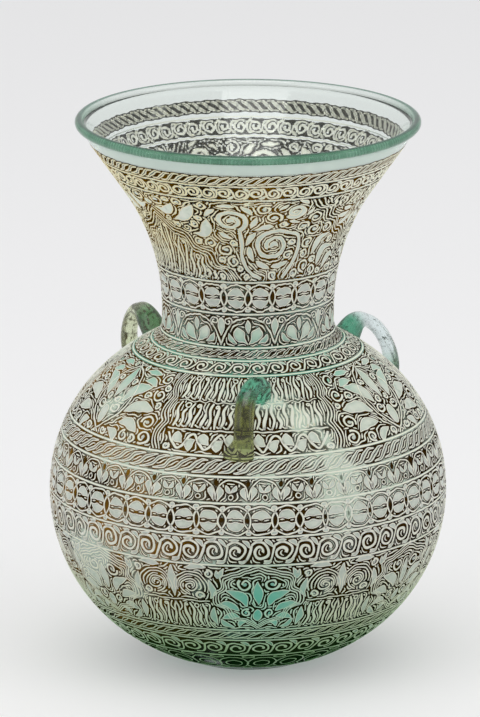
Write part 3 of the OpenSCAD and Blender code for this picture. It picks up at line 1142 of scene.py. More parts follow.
def reed(x, y0, y1, kind, lean):
    """One reed: plain, curled over, carrying a ring, or forked."""
    rise = y1 - y0
    head = {PLAIN: 0.0, CURLED: 1.7, RINGED: 3.4, FORKED: FORK_SHARE * rise}[kind]
    top = y1 - head
    bend = REED_BEND if kind in (CURLED, FORKED) else -REED_BEND
    stem = soft_curve([(x - lean, y0), (x - bend, y0 + 0.35 * (top - y0)),
                       (x + bend, y0 + 0.7 * (top - y0)), (x + lean, top)], 1.0)
    shapes = [("line", stem, swell(len(stem), 0.85, 0.5, 0.48), False)]
    if kind == CURLED:
        shapes += line(coil(x + lean - 1.1, top, 1.1, 0.25, 0.0, 1.2), 0.45)
    if kind == RINGED:
        shapes += line(oval(x + lean, y1 - 1.6, 1.25, 1.25), STROKE, True)
    if kind == FORKED:
        for way in (-1, 1):
            prong = [(x + lean, top), (x + 0.9 * way, top + 0.5 * rise * FORK_SHARE),
                     (x + 1.1 * way + lean, y1)]
            shapes += line(soft_curve(prong), STROKE)
    return shapes


print("strokes of each kind of reed:",
      [len(reed(0.0, 0.0, 9.0, kind, 0.5)) for kind in (PLAIN, CURLED, RINGED, FORKED)])

# %% A row of reeds
REED_ORDER = (PLAIN, RINGED, PLAIN, CURLED, FORKED, PLAIN, CURLED)
REED_PITCH, REED_SLANT = 3.3, 0.06
REED_LEAST, STUB_LEAST = 5.0, 3.0


def reed_row(x0, x1, y0, top, slant=REED_SLANT):
    """Upright reeds from x0 to x1; top gives their height at a place."""
    shapes = []
    count = max(1, int((x1 - x0) / REED_PITCH))
    for k in range(count):
        x = x0 + (k + 0.5) * (x1 - x0) / count
        y1 = top(x)
        lean = slant * (y1 - y0)
        if y1 - y0 > REED_LEAST:
            shapes += reed(x, y0, y1, REED_ORDER[k % len(REED_ORDER)], lean)
            if k % 3:
                link = [(x - 0.9 * REED_PITCH, y0 + 1.3), (x - 0.5 * REED_PITCH, y0 + 0.2),
                        (x - 0.1 * REED_PITCH, y0 + 1.3)]
                shapes += line(soft_curve(link), 0.4)
        elif y1 - y0 > STUB_LEAST:
            shapes += reed(x, y0, y1, PLAIN, lean)
    return shapes


print("a row of reeds 70 mm long has", len(reed_row(0.0, 70.0, 0.0, lambda x: 9.0)), "strokes")

# %% [markdown]
# Vines coil into discs with leaves that hug them, and palmettes open like fans.
# Both are drawn by turning one leaf about a middle, which keeps the spacing even.
# Each row of FAN gives a leaf's angle, its inner and outer end and its half
# width, as shares of the palmette's size. Frames have lines side by side.


# %% Vines
def vine(x, y, r, start, hand, leaves):
    """A thick stem coiled into a disc, with leaves that hug it."""
    path = coil(x, y, r, 0.34 * r, start, 1.4 * hand)
    shapes = body(path, np.linspace(1.05, 0.75, len(path)))
    shapes += leaf([(x + 0.26 * r, y - 0.12 * r), (x, y + 0.1 * r), (x - 0.2 * r, y - 0.16 * r)],
                   0.16 * r)
    out = r + 1.9 + 0.12 * r
    for k in range(leaves):
        turn = start + hand * (50 + 310 * k / leaves)
        stem = []
        for step, more in ((-16, 0.0), (4, 0.35), (24, 1.5)):
            angle = math.radians(turn + hand * step)
            stem.append((x + (out + more) * math.cos(angle), y + (out + more) * math.sin(angle)))
        shapes += leaf(stem, 0.12 * r + 0.3, 0.45)
    return shapes


print("a vine with 6 leaves has", len(vine(0.0, 0.0, 7.0, 0.0, 1, 6)), "strokes")

# %% Palmettes and frames
FAN = ((90.0, 0.34, 1.0, 0.088), (58.0, 0.36, 0.92, 0.088), (27.0, 0.38, 0.84, 0.085),
       (-4.0, 0.34, 0.68, 0.07), (-38.0, 0.28, 0.52, 0.05))
FRAME_HALF = 0.36
FRAME_SHARES = (1.0, 0.93, 0.86)


def palmette(x, y, size):
    """A fan of leaves that opens round a bud, none of them touching."""
    shapes = []
    for angle, inner, outer, half in FAN:
        one = []
        for share, bend in ((0.0, 0.0), (0.5, 4.0), (1.0, -6.0)):
            turn = math.radians(angle + (bend if angle < 90 else 0.0))
            reach = size * (inner + (outer - inner) * share)
            one.append((x + reach * math.cos(turn), y + size * 0.2 + 0.8 * reach * math.sin(turn)))
        made = leaf(one, half * size, 0.5)
        shapes += made if angle == 90 else made + mirrored(made, x)
    shapes += pod(x, y + 0.08 * size, x, y + 0.34 * size, 0.07 * size)
    return shapes


def frame_lines(outline, centre):
    """Lines side by side that follow one outline, shrunk towards a centre."""
    shapes = []
    path = soft_curve(outline)
    for share in FRAME_SHARES:
        shapes += line((path - centre) * share + centre, FRAME_HALF)
    return shapes


print("a palmette has", len(palmette(0.0, 0.0, 20.0)), "strokes")

# %% [markdown]
# The shoulder repeats three times, once for each loop: a panel under the loop
# and a leaf medallion between two loops. A strip of leaf scroll runs under the
# panel, and its upright edges bulge in lobes. Only the right half is drawn, and
# the left is its mirror image.

# %% Shoulder edges and scroll
SCROLL_PITCH = 12.5


def lobed_side(x, h, bulge=2.4, lobes=3):
    """Points up an upright edge that bulges in lobes."""
    y = np.linspace(0.6, h - 0.4, 6 * lobes + 1)
    return [(x + bulge * abs(math.sin(math.pi * lobes * v / h)), v) for v in y]


def leaf_scroll(x0, x1, y0, y1):
    """A wavy vine with a broad leaf in each of its bends."""
    count = max(2, int(round((x1 - x0) / SCROLL_PITCH)))
    step = (x1 - x0) / count
    rise = y1 - y0
    wave = [(x0 + 0.5 * k * step, y0 + rise * (0.12 if k % 2 else 0.88))
            for k in range(2 * count + 1)]
    shapes = line(soft_curve(wave), 0.6)
    for k in range(2 * count - 1):
        x = x0 + 0.5 * (k + 1) * step
        up = 1.0 if k % 2 else -1.0
        y = y0 + rise * (0.5 - 0.24 * up)
        stem = [(x - 0.12 * step, y - 0.2 * rise * up), (x - 0.1 * step, y + 0.14 * rise * up),
                (x + 0.1 * step, y + 0.36 * rise * up)]
        shapes += leaf(stem, 0.19 * rise, 0.42)
    return shapes


print("a scroll 74 mm long has", len(leaf_scroll(0.0, 74.0, 0.0, 10.0)), "strokes")

# %% Shoulder panels
PANEL_HALF = 38.0
PANEL_INSET = PANEL_HALF - 1
SCROLL_TOP = 12.2
SHOULDER_LEAVES = (
    ((-11.0, 0.06), (-15.5, 0.18), (-16.0, 0.34), 2.4),
    ((-21.0, 0.05), (-22.5, 0.16), (-20.5, 0.3), 2.2),
    ((-17.5, 0.42), (-19.5, 0.54), (-17.0, 0.68), 2.2),
    ((-25.0, 0.38), (-26.5, 0.48), (-24.0, 0.6), 2.0),
    ((-13.0, 0.78), (-18.0, 0.8), (-24.0, 0.74), 2.0),
    ((-9.0, 0.9), (-15.0, 0.92), (-22.0, 0.9), 1.7))


def shoulder_panel(w, h):
    """A panel of reeds round x = 0 and a leaf medallion round x = w / 2."""
    shapes = line([(x, SCROLL_TOP) for x in np.arange(-PANEL_HALF, PANEL_HALF + 1, 1.0)])
    shapes += leaf_scroll(-PANEL_INSET, PANEL_INSET, 0.8, SCROLL_TOP - 0.8)
    middle = (SCROLL_TOP + h) / 2
    shapes += reed_row(-PANEL_INSET, PANEL_INSET, SCROLL_TOP + 1.2, lambda x: middle - 1.0)
    shapes += reed_row(-PANEL_INSET, PANEL_INSET, middle + 0.8, lambda x: h - 0.8)
    shapes += line([(x, middle - 0.1 + 0.5 * math.sin(0.9 * x))
                    for x in np.arange(-PANEL_INSET, PANEL_HALF, 0.8)], THIN)
    right = []
    for k in range(len(FRAME_SHARES)):
        right += line(soft_curve(lobed_side(PANEL_HALF + 0.6 + 1.6 * k, h)), FRAME_HALF)
    x = w / 2
    right += line(soft_curve([(x + 2.0, 0.8), (x - 9.0, 0.26 * h), (x - 13.0, 0.52 * h),
                              (x - 8.0, 0.82 * h), (x + 3.0, h - 0.8)]), BOLD)
    right += placed_leaves(SHOULDER_LEAVES, x, h)
    shapes += palmette(x, 0.06 * h, 0.86 * h)
    return spaced(shapes + right + mirrored(right, 0.0), w)


print("shoulder medallion drawn with", 2 * len(SHOULDER_LEAVES), "side leaves")

# %% [markdown]
# The neck's wide band has an upright tent of three lobed lines, then a big
# curling vine, then a tent that hangs from the top. The pair repeats twice
# round the neck. The tents are one edge, drawn once and used upright, hanging
# and mirrored.

# %% Neck tents
TENT_EDGE = [(44.0, 0.8), (39.0, 7.0), (31.5, 9.5), (28.5, 16.5), (20.0, 19.5),
             (16.5, 27.0), (8.0, 30.0), (0.0, 40.0)]
TENT_PLACE = -48.0
HANGING_PLACE = 60.0
HANGING_SHARE = 0.74
TENT_LEAVES = (
    ((3.0, 42.0), (9.0, 40.0), (14.0, 46.5), 2.3),
    ((12.0, 35.0), (18.0, 38.0), (24.0, 47.5), 2.8),
    ((20.0, 27.0), (26.5, 28.0), (29.0, 38.0), 2.6))
HANGING_LEAVES = (
    ((3.0, 8.5), (8.0, 10.0), (12.0, 3.0), 1.9),
    ((8.0, 16.0), (15.0, 15.0), (17.5, 6.0), 2.2),
    ((14.0, 24.0), (20.0, 22.0), (23.0, 13.0), 2.0))


def tent_height(x):
    """How high the tent's inner line stands at a distance from its middle."""
    xs = [p[0] for p in TENT_EDGE][::-1]
    ys = [p[1] for p in TENT_EDGE][::-1]
    return np.interp(abs(x) / 0.8, xs, ys) * 0.84 - 1.2


def upright_tent():
    """A tent that stands on the foot of the band, with reeds in it."""
    edge = frame_lines(TENT_EDGE, np.array([0.0, 0.0]))
    shapes = edge + mirrored(edge, 0.0)
    shapes += reed_row(-34.0, 34.0, 1.2, tent_height)
    shapes += pod(-1.6, 44.5, 1.6, 44.5, 1.6)
    right = placed_leaves(TENT_LEAVES)
    right += line(coil(17.5, 30.5, 2.4, 0.5, 200.0, 1.4), FRAME_HALF)
    right += line(coil(8.5, 35.5, 2.1, 0.5, 200.0, 1.4), FRAME_HALF)
    return shapes + right + mirrored(right, 0.0)


def hanging_tent(h):
    """A narrower tent that hangs from the top of the band, with a palmette."""
    hung = [(x * HANGING_SHARE, h - y) for x, y in TENT_EDGE]
    edge = frame_lines(hung, np.array([0.0, h]))
    shapes = edge + mirrored(edge, 0.0)
    shapes += reed_row(-22.0, 22.0, h - 9.5, lambda x: h - 1.0, 0.2)
    shapes += flipped(palmette(0.0, 9.6, 17.0), h)
    right = placed_leaves(HANGING_LEAVES)
    return shapes + right + mirrored(right, 0.0)


print("strokes: upright tent", len(upright_tent()), "and hanging tent", len(hanging_tent(47.0)))

# %% Neck vines
VINE_HALF = 0.75
VINE_STEMS = (((7.0, 1.5), (0.0, 6.5), (-3.0, 14.0), (-3.2, 22.0), (-4.2, 30.9)),
              ((20.0, 1.5), (25.5, 10.0), (27.0, 20.0), (24.5, 27.0), (17.8, 29.3)))


def neck_field(w, h):
    """An upright tent, a vine, a hanging tent and a smaller vine."""
    shapes = moved(upright_tent(), TENT_PLACE) + moved(hanging_tent(h), HANGING_PLACE)
    for stem in VINE_STEMS:
        path = soft_curve(stem, STEM_STEP)
        shapes += body(path, np.full(len(path), VINE_HALF))
    shapes += vine(-8.0, 37.5, 7.6, -60.0, 1, leaves=6)
    shapes += vine(13.0, 21.0, 9.6, 60.0, 1, leaves=7)
    shapes += vine(21.0, 43.0, 4.4, 220.0, 1, leaves=4)
    shapes += vine(-w / 2 + 10.0, 41.5, 6.0, 60.0, -1, leaves=6)
    shapes += vine(w / 2 - 2.0, 30.0, 6.4, 200.0, 1, leaves=6)
    return spaced(shapes, w)


print(len(VINE_STEMS), "stems run up to the neck's large vines")

# %% [markdown]
# Low on the bowl, seven lobed medallions each hold a palmette, and between two
# of them a short panel of reeds stands under a pair of curls. It is drawn like
# the shoulder, as one half and its mirror image.

# %% Bowl medallions
MEDALLION_EDGE = [(0.0, 0.9), (7.0, 6.0), (14.0, 8.0), (16.5, 14.0), (22.0, 17.5),
                  (22.0, 24.0), (17.5, 28.0), (18.0, 34.0), (10.0, 37.0), (0.0, 40.6)]
BOWL_LEAVES = (
    ((-18.5, 21.0), (-20.0, 25.0), (-18.0, 32.0), 1.7),
    ((-17.5, 38.5), (-12.0, 39.0), (-6.0, 38.0), 1.4),
    ((-21.0, 3.0), (-19.5, 9.0), (-20.0, 15.0), 1.5),
    ((-30.0, 1.6), (-26.0, 3.4), (-23.0, 7.5), 1.5),
    ((-25.5, 38.5), (-23.0, 34.5), (-22.0, 37.5), 1.6))


def bowl_field(w, h):
    """A medallion round x = 0 and a panel of reeds round x = w / 2."""
    side = frame_lines(MEDALLION_EDGE, np.array([0.0, 0.5 * h]))
    shapes = side + mirrored(side, 0.0)
    shapes += palmette(0.0, 0.12 * h, 0.68 * h)
    x = w / 2
    curl = (x - 9.0, 27.5)
    right = reed_row(x - 17.0, x, 1.4, lambda v: 17.5, 0.05)
    right += line([(v, 19.0) for v in np.arange(x - 18.0, x + 0.5, 1.0)], FRAME_HALF)
    right += line(coil(*curl, 5.2, 0.7, -90.0, 1.8))
    for r in (6.8, 8.4):
        right += line(arc(np.array(curl), r, -20.0, 200.0, STROKE_STEP), FRAME_HALF)
    right += placed_leaves(BOWL_LEAVES, x)
    shapes += right + mirrored(right, x)
    shapes += leaf([(x, 21.0), (x, 27.0), (x, 38.5)], 2.2)
    return spaced(shapes, w)


print("bowl cell of 80 mm has", len(bowl_field(80.0, 41.5)), "strokes before filling")

# %% [markdown]
# ## Setting the bands
# A band has a brown ground with cream lines at its edges and the drawing in
# between. The ground could be a colour of the glass itself. Here it is a very
# thin film, a spun strip of its own, so that wear can make it break up and show
# the glass.

# %% Edge lines and ground strips
EDGE_HALF = 0.36
GROUND_LOW, GROUND_HIGH = 0.04, 0.07
GROUND_STEP, GROUND_TURNS = 2.5, 200
ornament = {}


def keep(zone, finish, points, faces):
    """Puts aside a part of the ornament of one zone and finish."""
    ornament.setdefault((zone, finish), []).append((points, faces))


def strip_side(s_low, s_high, low, high, step):
    """The closed side view of a thin strip that lies on the glass."""
    count = max(2, int((s_high - s_low) / step) + 1)
    s = np.linspace(s_low, s_high, count)
    upper = on_glass(np.zeros(count), s, np.full(count, high))
    lower = on_glass(np.zeros(count), s[::-1], np.full(count, low))
    both = np.vstack([lower[::-1], upper[::-1]])
    return np.column_stack([-both[:, 1], both[:, 2]])


def edge_line(zone, height):
    """A cream line right round the lamp at a height."""
    s = np.interp(height, glass_face[:, 1], face_s)
    side = strip_side(s - EDGE_HALF, s + EDGE_HALF, LINE_LOW, LINE_HIGH, EDGE_HALF)
    keep(zone, "line", *spin(side))


print("ground film", round(GROUND_HIGH - GROUND_LOW, 3), "mm thick")

# %% [markdown]
# Through the mouth the far side of the neck is seen from within, with the light
# behind it. There the pale strokes glow, which they could not do over a closed
# film. So the neck's film has a hole under each stroke. The holes could be cut
# with modifiers, but the map of free distances already says which little squares
# of the film lie under no stroke, and only these are made.

# %% Pierced film
FILM_CELL = 0.64


def pierced_film(shapes, w, h):
    """A thin film with a hole under each stroke, as points (x, y, up) and faces."""
    free, steps = free_map(shapes, w, h, FILM_CELL)
    columns, rows = np.nonzero(free > 0.0)
    across = free.shape[0] + 1
    first = rows * across + columns
    top = np.column_stack([first, first + 1, first + 1 + across, first + across])
    used, top = np.unique(top, return_inverse=True)
    top, count = top.reshape(-1, 4), len(used)
    flat = np.column_stack([used % across, used // across]) * steps
    points = np.vstack([np.column_stack([flat, np.full(count, up)])
                        for up in (GROUND_HIGH, GROUND_LOW)])
    edges = np.vstack([top[:, [k, (k + 1) % 4]] for k in range(4)])
    one_way = edges[:, 0] * count + edges[:, 1]
    other_way = edges[:, 1] * count + edges[:, 0]
    rim = edges[~np.isin(one_way, other_way)]
    walls = np.column_stack([rim[:, ::-1], rim + count])
    return points, np.vstack([top, top[:, ::-1] + count, walls])


print("film squares of about", FILM_CELL, "mm")

# %% [markdown]
# A band is laid by drawing one cell, filling its gaps and bending copies of it
# round the lamp. An Array modifier could copy the cell, but the copies would be
# exactly alike. Each copy is shifted a little by slow waves over the whole lamp,
# as a hand wanders. One band sits lower at the front than at the back, by tilt.

# %% A wandering hand
HAND_R = 90.0
SIDE_WAVES = ((0.3, 0.31, 0.23, 0.0), (0.22, 0.83, -0.41, 1.0))
UP_WAVES = ((0.22, 0.37, -0.19, 2.0), (0.18, 0.97, 0.53, 0.0))


def wander(waves, x, s):
    """The sum of some waves; each has a size, a rate along, a rate up and a start."""
    return sum(size * np.sin(along * x + upward * s + start)
               for size, along, upward, start in waves)


def by_hand(angle, s):
    """Small wanderings of the brush, so that no two cells are quite alike."""
    x = HAND_R * angle
    return angle + wander(SIDE_WAVES, x, s) / HAND_R, s + wander(UP_WAVES, x, s)


print("the hand wanders up to", sum(wave[0] for wave in SIDE_WAVES), "mm sideways")

# %% Ribbons of a cell
OUTLINE = 0.42
SHORT_STROKE = 8


def cell_parts(shapes, outlined):
    """The ribbons of one cell by kind, with dark outlines if they are asked for."""
    made = {kind: [] for kind in SECTIONS}
    for kind, points, half, closed in shapes:
        made[kind].append(ribbon(points, half, SECTIONS[kind], closed))
    outlines = shapes if outlined else []
    for kind, points, half, closed in outlines:
        if kind == "line" or len(points) < SHORT_STROKE:
            wide = np.asarray(half) + OUTLINE
            made["dark"].append(ribbon(points, wide, DARK_SECTION, closed))
    return made


print("dark outlines stand out by", OUTLINE, "mm on each side")


# %% Laying a band
def lay_band(zone, low, high, repeats, draw, turn=0.0, ground="ground_kept",
             outlined=False, filled=True, pierced=False, tilt=0.0):
    """A band between two heights: its ground and its repeated drawing."""
    s_low, s_high = np.interp([low, high], glass_face[:, 1], face_s)
    middle = np.interp((s_low + s_high) / 2, face_s, glass_face[:, 0])
    width, tall = 2 * math.pi * middle / repeats, s_high - s_low
    shapes = draw(width, tall)
    if filled:
        shapes = shapes + fill_gaps(shapes, width, tall)
    made = cell_parts(shapes, outlined)
    if pierced:
        made[ground] = [pierced_film(shapes, width, tall)]
    total = 0
    for kind, parts in made.items():
        for vertices, faces in parts:
            for k in range(repeats):
                angle = math.radians(turn) + (vertices[:, 0] + k * width) / middle
                s = s_low + vertices[:, 1] - tilt * np.cos(angle)
                angle, s = by_hand(angle, s)
                keep(zone, kind, on_glass(angle, s, vertices[:, 2]), faces)
                total += len(faces)
    if not pierced:
        side = strip_side(s_low, s_high, GROUND_LOW, GROUND_HIGH, GROUND_STEP)
        keep(zone, ground, *spin(side, GROUND_TURNS))
    print(zone, "band", round(tall, 1), "mm tall,", repeats, "cells of",
          round(width, 1), "mm,", total, "faces")


print("bands can lie from", round(glass_face[0, 1], 1), "to", round(glass_face[-1, 1], 1),
      "mm up the lamp")

# %% [markdown]
# The heights come from the lines between the bands, from the mouth down to the
# foot. The ground is well kept in some bands and mostly worn off in others.
# Where it is worn, dark paint is left only beside the raised lines, so those
# bands get an outline under each stroke.

# %% Bands of the neck
for height in (259.9, 251.4, 204.0, 187.1, 170.0):
    edge_line("neck_edges", height)
lay_band("neck_top", 261.0, 266.9, 96, rope, ground="ground_solid", filled=False,
         pierced=True, tilt=1.0)
lay_band("neck_top", 252.0, 259.2, 28, bold_coil, ground="ground_solid", filled=False,
         pierced=True)
lay_band("neck_field", 204.7, 250.6, 2, neck_field, ground="ground_solid", pierced=True)
lay_band("neck_low", 187.8, 203.4, 23, linked_ring, ground="ground_worn", outlined=True)
lay_band("neck_low", 170.6, 186.4, 10, festoon, turn=-18.0, ground="ground_worn",
         outlined=True)
lay_band("neck_low", 165.2, 169.4, 60, rope, ground="ground_worn", outlined=True)

# %% Bands of the shoulder and the bowl
for height in (164.6, 159.4, 126.7, 117.6, 105.2, 88.6, 73.9, 36.2, 29.4, 18.2):
    edge_line("bowl_edges", height)
lay_band("shoulder", 159.9, 164.2, 35, running_coil, ground="ground_worn", outlined=True)
lay_band("shoulder", 127.3, 158.9, 3, shoulder_panel)
lay_band("bowl_top", 118.2, 126.2, 84, rope, ground="ground_worn", outlined=True)
lay_band("bowl_top", 105.8, 117.0, 37, little_arch, ground="ground_worn", outlined=True)
lay_band("bowl_rings", 89.2, 104.6, 48, linked_ring, ground="ground_worn", outlined=True)
lay_band("bowl_coils", 74.5, 88.0, 54, tall_coil, ground="ground_worn", outlined=True)
lay_band("bowl_field", 36.8, 73.3, 7, bowl_field, turn=3.0)
lay_band("foot", 30.0, 35.7, 72, thin_rope, filled=False)
lay_band("foot", 18.7, 28.9, 40, thin_coil, filled=False)
lay_band("foot", 5.0, 17.7, 26, thin_ring, filled=False)

# %% [markdown]
# ## The finishes of the ornament
# The ground is brown with gold left in it, and more gold on the neck. Towards
# the left it is painted more gold as well, a painted sheen of the light from that
# side. At the back of the neck it is painted darker, as shade seen from within.
# Its wear could be modelled as holes in the film, but a cloud of noise that makes
# it see-through gives finer edges. A few places are rubbed bare. Each has a
# middle and a reach, in metres.

# %% Wear and the far neck
BARE_PLACES = (((0.051, -0.083, 0.109), 0.036), ((-0.078, -0.059, 0.066), 0.024),
               ((-0.036, -0.026, 0.18), 0.022), ((0.036, -0.026, 0.178), 0.022))
BARE_STEP = 0.22
# the back of the neck, seen from within against the light, where light and shade are painted
FAR_FADE, FAR_NECK_FADE = (0.0, 0.03), (0.2, 0.23)


def worn_noise(tree):
    """Cloudy values that are lower at the places that are rubbed bare."""
    value = noise(tree, 34.0, 6.0, 0.62)
    for centre, reach in BARE_PLACES:
        rubbed = add_node(tree, "ShaderNodeMath")
        rubbed.operation = "MULTIPLY_ADD"
        rubbed.inputs[1].default_value = -BARE_STEP
        tree.links.new(spot_ramp(tree, centre, reach), rubbed.inputs[0])
        tree.links.new(value, rubbed.inputs[2])
        value = rubbed.outputs[0]
    return value


def backlit_far_neck(tree):
    """1 at the back of the neck, seen through the mouth against the light; painted light and shade
    are set there.
    """
    return product(tree, place_ramp(tree, "Y", *FAR_FADE),
                   place_ramp(tree, "Z", *FAR_NECK_FADE))


print(len(BARE_PLACES), "places are rubbed bare")

# %% Ground finishes
WEAR_START, WEAR_SPAN, WEAR_EDGE = 0.3, 0.4, 0.06
NECK_GOLD = 0.52
GOLD_SHEEN_FADE, GOLD_NECK_FADE = (-0.005, -0.07), (0.185, 0.225)


def ground_finish(name, worn):
    """Brown and gold film, painted more gold to the left as a sheen, painted darker at the back of
    the neck and with painted turquoise light low at the front; worn is the share that has come
    off.
    """
    finish, tree, shader = new_finish(name)
    grain = clouds(tree, 300.0)
    brown = tint(tree, grain, linear(27, 18, 4), linear(58, 40, 9))
    neck = place_ramp(tree, "Z", *GOLD_NECK_FADE)
    gold = tint(tree, grain, linear(104, 74, 18), linear(138, 102, 34))
    gold = tint(tree, neck, gold, linear(128, 90, 8))
    # real gold on the neck, and a painted sheen that turns the ground more gold towards the left,
    # where the light falls
    gold_and_painted_sheen = larger(tree, place_ramp(tree, "X", *GOLD_SHEEN_FADE),
                    stretch(tree, neck, 0.0, 1.0, 0.0, NECK_GOLD))
    patch = stretch(tree, noise(tree, 40.0), 0.38, 0.6)
    colour = tint(tree, product(tree, gold_and_painted_sheen, patch), brown, gold)
    # painted shade: the film is darker at the back of the neck, seen from within against the light
    colour = tint(tree, backlit_far_neck(tree), colour, linear(30, 23, 0))
    # painted light: a dim turquoise spot low at the front, as on the glass
    colour = deepen_and_paint_glow(tree, colour, linear(8, 34, 11), linear(20, 30, 12))
    rough = stretch(tree, grain, 0.0, 1.0, 0.45, 0.65)
    edge = WEAR_START + WEAR_SPAN * worn
    cover = stretch(tree, worn_noise(tree), edge - WEAR_EDGE, edge + WEAR_EDGE)
    feed(tree, shader, Base_Color=colour, Roughness=rough, Alpha=cover)
    shader.inputs["Specular IOR Level"].default_value = 0.0
    return finish


finishes = {
    "ground_solid": ground_finish("solid_brown_ground", 0.08),
    "ground_kept": ground_finish("brown_ground", 0.26),
    "ground_worn": ground_finish("worn_brown_ground", 0.54),
    "dark": ground_finish("dark_outline", 0.16),
    "split": ground_finish("dark_split", 0.16)}
print("ground finishes:", ", ".join(finishes))

# %% [markdown]
# The lines are cream enamel, partly gilded on the neck, and the leaf bodies are
# milky glass. Towards the left of the neck the lines are painted more gold, a
# painted sheen of the light from that side. Both could be plain opaque paint.
# Thin enamel lets some light soak in, though, so they get subsurface light, which
# softens their shadows. At the far side of the neck they pass light like clear
# glass, and both are painted brighter there, as if lit from behind.

# %% Line finish
FAR_CLEAR = 0.96
GILT_SHEEN_FADE, GILT_NECK_FADE, GILT_LEAST = (0.06, -0.06), (0.19, 0.23), 0.3


def let_light_in(tree, shader):
    """Light soaks through the strokes as through milk, and passes at the far neck."""
    passing = stretch(tree, backlit_far_neck(tree), 0.0, 1.0, 0.0, FAR_CLEAR)
    feed(tree, shader, Transmission_Weight=passing)
    shader.inputs["IOR"].default_value = 1.3
    shader.inputs["Subsurface Weight"].default_value = 0.9
    shader.inputs["Subsurface Radius"].default_value = (1.0, 1.0, 0.9)
    shader.inputs["Subsurface Scale"].default_value = 0.0008


def line_finish():
    """Cream enamel, partly gilded on the neck with a painted sheen to the left, painted brighter
    at the back of the neck, sea green at the foot, with painted turquoise light low at the front.
    """
    finish, tree, shader = new_finish("cream_enamel")
    rubbed = stretch(tree, noise(tree, 120.0), 0.4, 0.68)
    cream = tint(tree, rubbed, linear(247, 246, 218), linear(233, 234, 207))
    # painted sheen: the lines turn more gold towards the left of the neck, where the light falls;
    # a little gilding stays all round
    left = stretch(tree, place_ramp(tree, "X", *GILT_SHEEN_FADE), 0.0, 1.0, GILT_LEAST, 1.0)
    gilding_and_painted_sheen = product(tree, left, place_ramp(tree, "Z", *GILT_NECK_FADE))
    cream = tint(tree, gilding_and_painted_sheen, cream, linear(226, 212, 166))
    # painted light: the lines are brighter at the back of the neck, lit from behind
    cream = tint(tree, backlit_far_neck(tree), cream, linear(251, 247, 232))
    # painted light: paler sea green on the lines low at the front
    colour = deepen_and_paint_glow(tree, cream, linear(94, 142, 90), linear(160, 208, 176))
    rough = stretch(tree, rubbed, 0.0, 1.0, 0.3, 0.5)
    feed(tree, shader, Base_Color=colour, Roughness=rough)
    let_light_in(tree, shader)
    return finish


finishes["line"] = line_finish()
print("far strokes are", FAR_CLEAR, "clear")


# %% Leaf finish
def leaf_finish():
    """Milky blue-green glass with cloudy patches."""
    finish, tree, shader = new_finish("milky_leaf_glass")
    patches = clouds(tree, 160.0)
    milky = tint(tree, patches, linear(197, 210, 189), linear(219, 226, 205))
    # painted light: the leaves are brighter at the back of the neck, lit from behind
    milky = tint(tree, backlit_far_neck(tree), milky, linear(251, 248, 234))
    milky = sea_green_root(tree, milky, linear(142, 200, 174))
    # painted light: turquoise on the leaves low at the front
    colour = deepen_and_paint_glow(tree, milky, linear(34, 104, 68), linear(84, 178, 150))
    rough = stretch(tree, patches, 0.0, 1.0, 0.22, 0.4)
    feed(tree, shader, Base_Color=colour, Roughness=rough)
    shader.inputs["Coat Weight"].default_value = 0.2
    let_light_in(tree, shader)
    return finish


finishes["leaf"] = leaf_finish()
print(len(finishes), "finishes for the ornament")

# %% [markdown]
# Thousands of separate ribbons would make a slow scene, and one object for all
# of them could not be handled band by band. So the ribbons of one zone and one
# finish are joined into one piece. They all ride on the lamp.

# %% Ornament pieces
for (zone, finish), parts in ornament.items():
    starts = np.cumsum([0] + [len(points) for points, faces in parts])
    points = np.vstack([points for points, faces in parts])
    faces = np.vstack([faces + start for (_, faces), start in zip(parts, starts)])
    make_piece(zone + "_" + finish, points, faces, finishes[finish], "lamp",
               soft=False)

# %% [markdown]
# ## The loops
# Each loop is a trail of hot glass: dropped on the shoulder as a thick blob,
# drawn up and over, pressed down and pinched off. A curve with a bevel could
# follow its middle, but its section changes all the way. So the shape follows
# the CAD sweep, with many more sections and fine ribs along it where the trail
# was drawn.

# %% Middle line of a loop
SHOULDER_W = GLOBE_R - NECK_R
ARCH_BIAS, BURY = 1.5, 3.0


def shoulder_arc(x):
    """The centre and radius of the shoulder's arc at a distance from the axis."""
    meet = top_r * math.cos(math.radians(top_angle))
    return (top_c, top_r) if x < meet else (shoulder_c, SHOULDER_R)


def along_loop(s):
    """How far out a loop has come, from 0 at its root to 1 at its foot."""
    return ((1 - math.cos(math.pi * s)) / 2) ** ARCH_BIAS


def arch_point(s, start, reach, rise):
    """The middle line of a loop in its own plane."""
    x = root_r + SHOULDER_W * (start + reach * along_loop(s))
    centre, radius = shoulder_arc(x)
    z = centre[1] + math.sqrt(radius ** 2 - (x - centre[0]) ** 2)
    out = (np.array([x, z]) - centre) / radius
    height = (rise + BURY) * math.sin(math.pi * s) - BURY
    return np.array([x, z]) + height * out


print("half way, a loop has come", round(along_loop(0.5), 3), "of its reach")

# %% Sections of a loop
RINGS, SIDES = 84, 40
ROOT_W, STRAP_W, FOOT_W = 13.0, 10.0, 11.0
ROOT_T, STRAP_T = 15.0, 7.0
WIDTH_PLACES, THICK_PLACES, TAIL_PLACES = (0.2, 0.42, 0.72, 0.92), (0.0, 0.4), (0.8, 0.92)
RIB_DEPTH, RIBS, RIB_TWIST = 0.035, 7, 5
NUDGE = 0.01
SLANT_POWER = 4


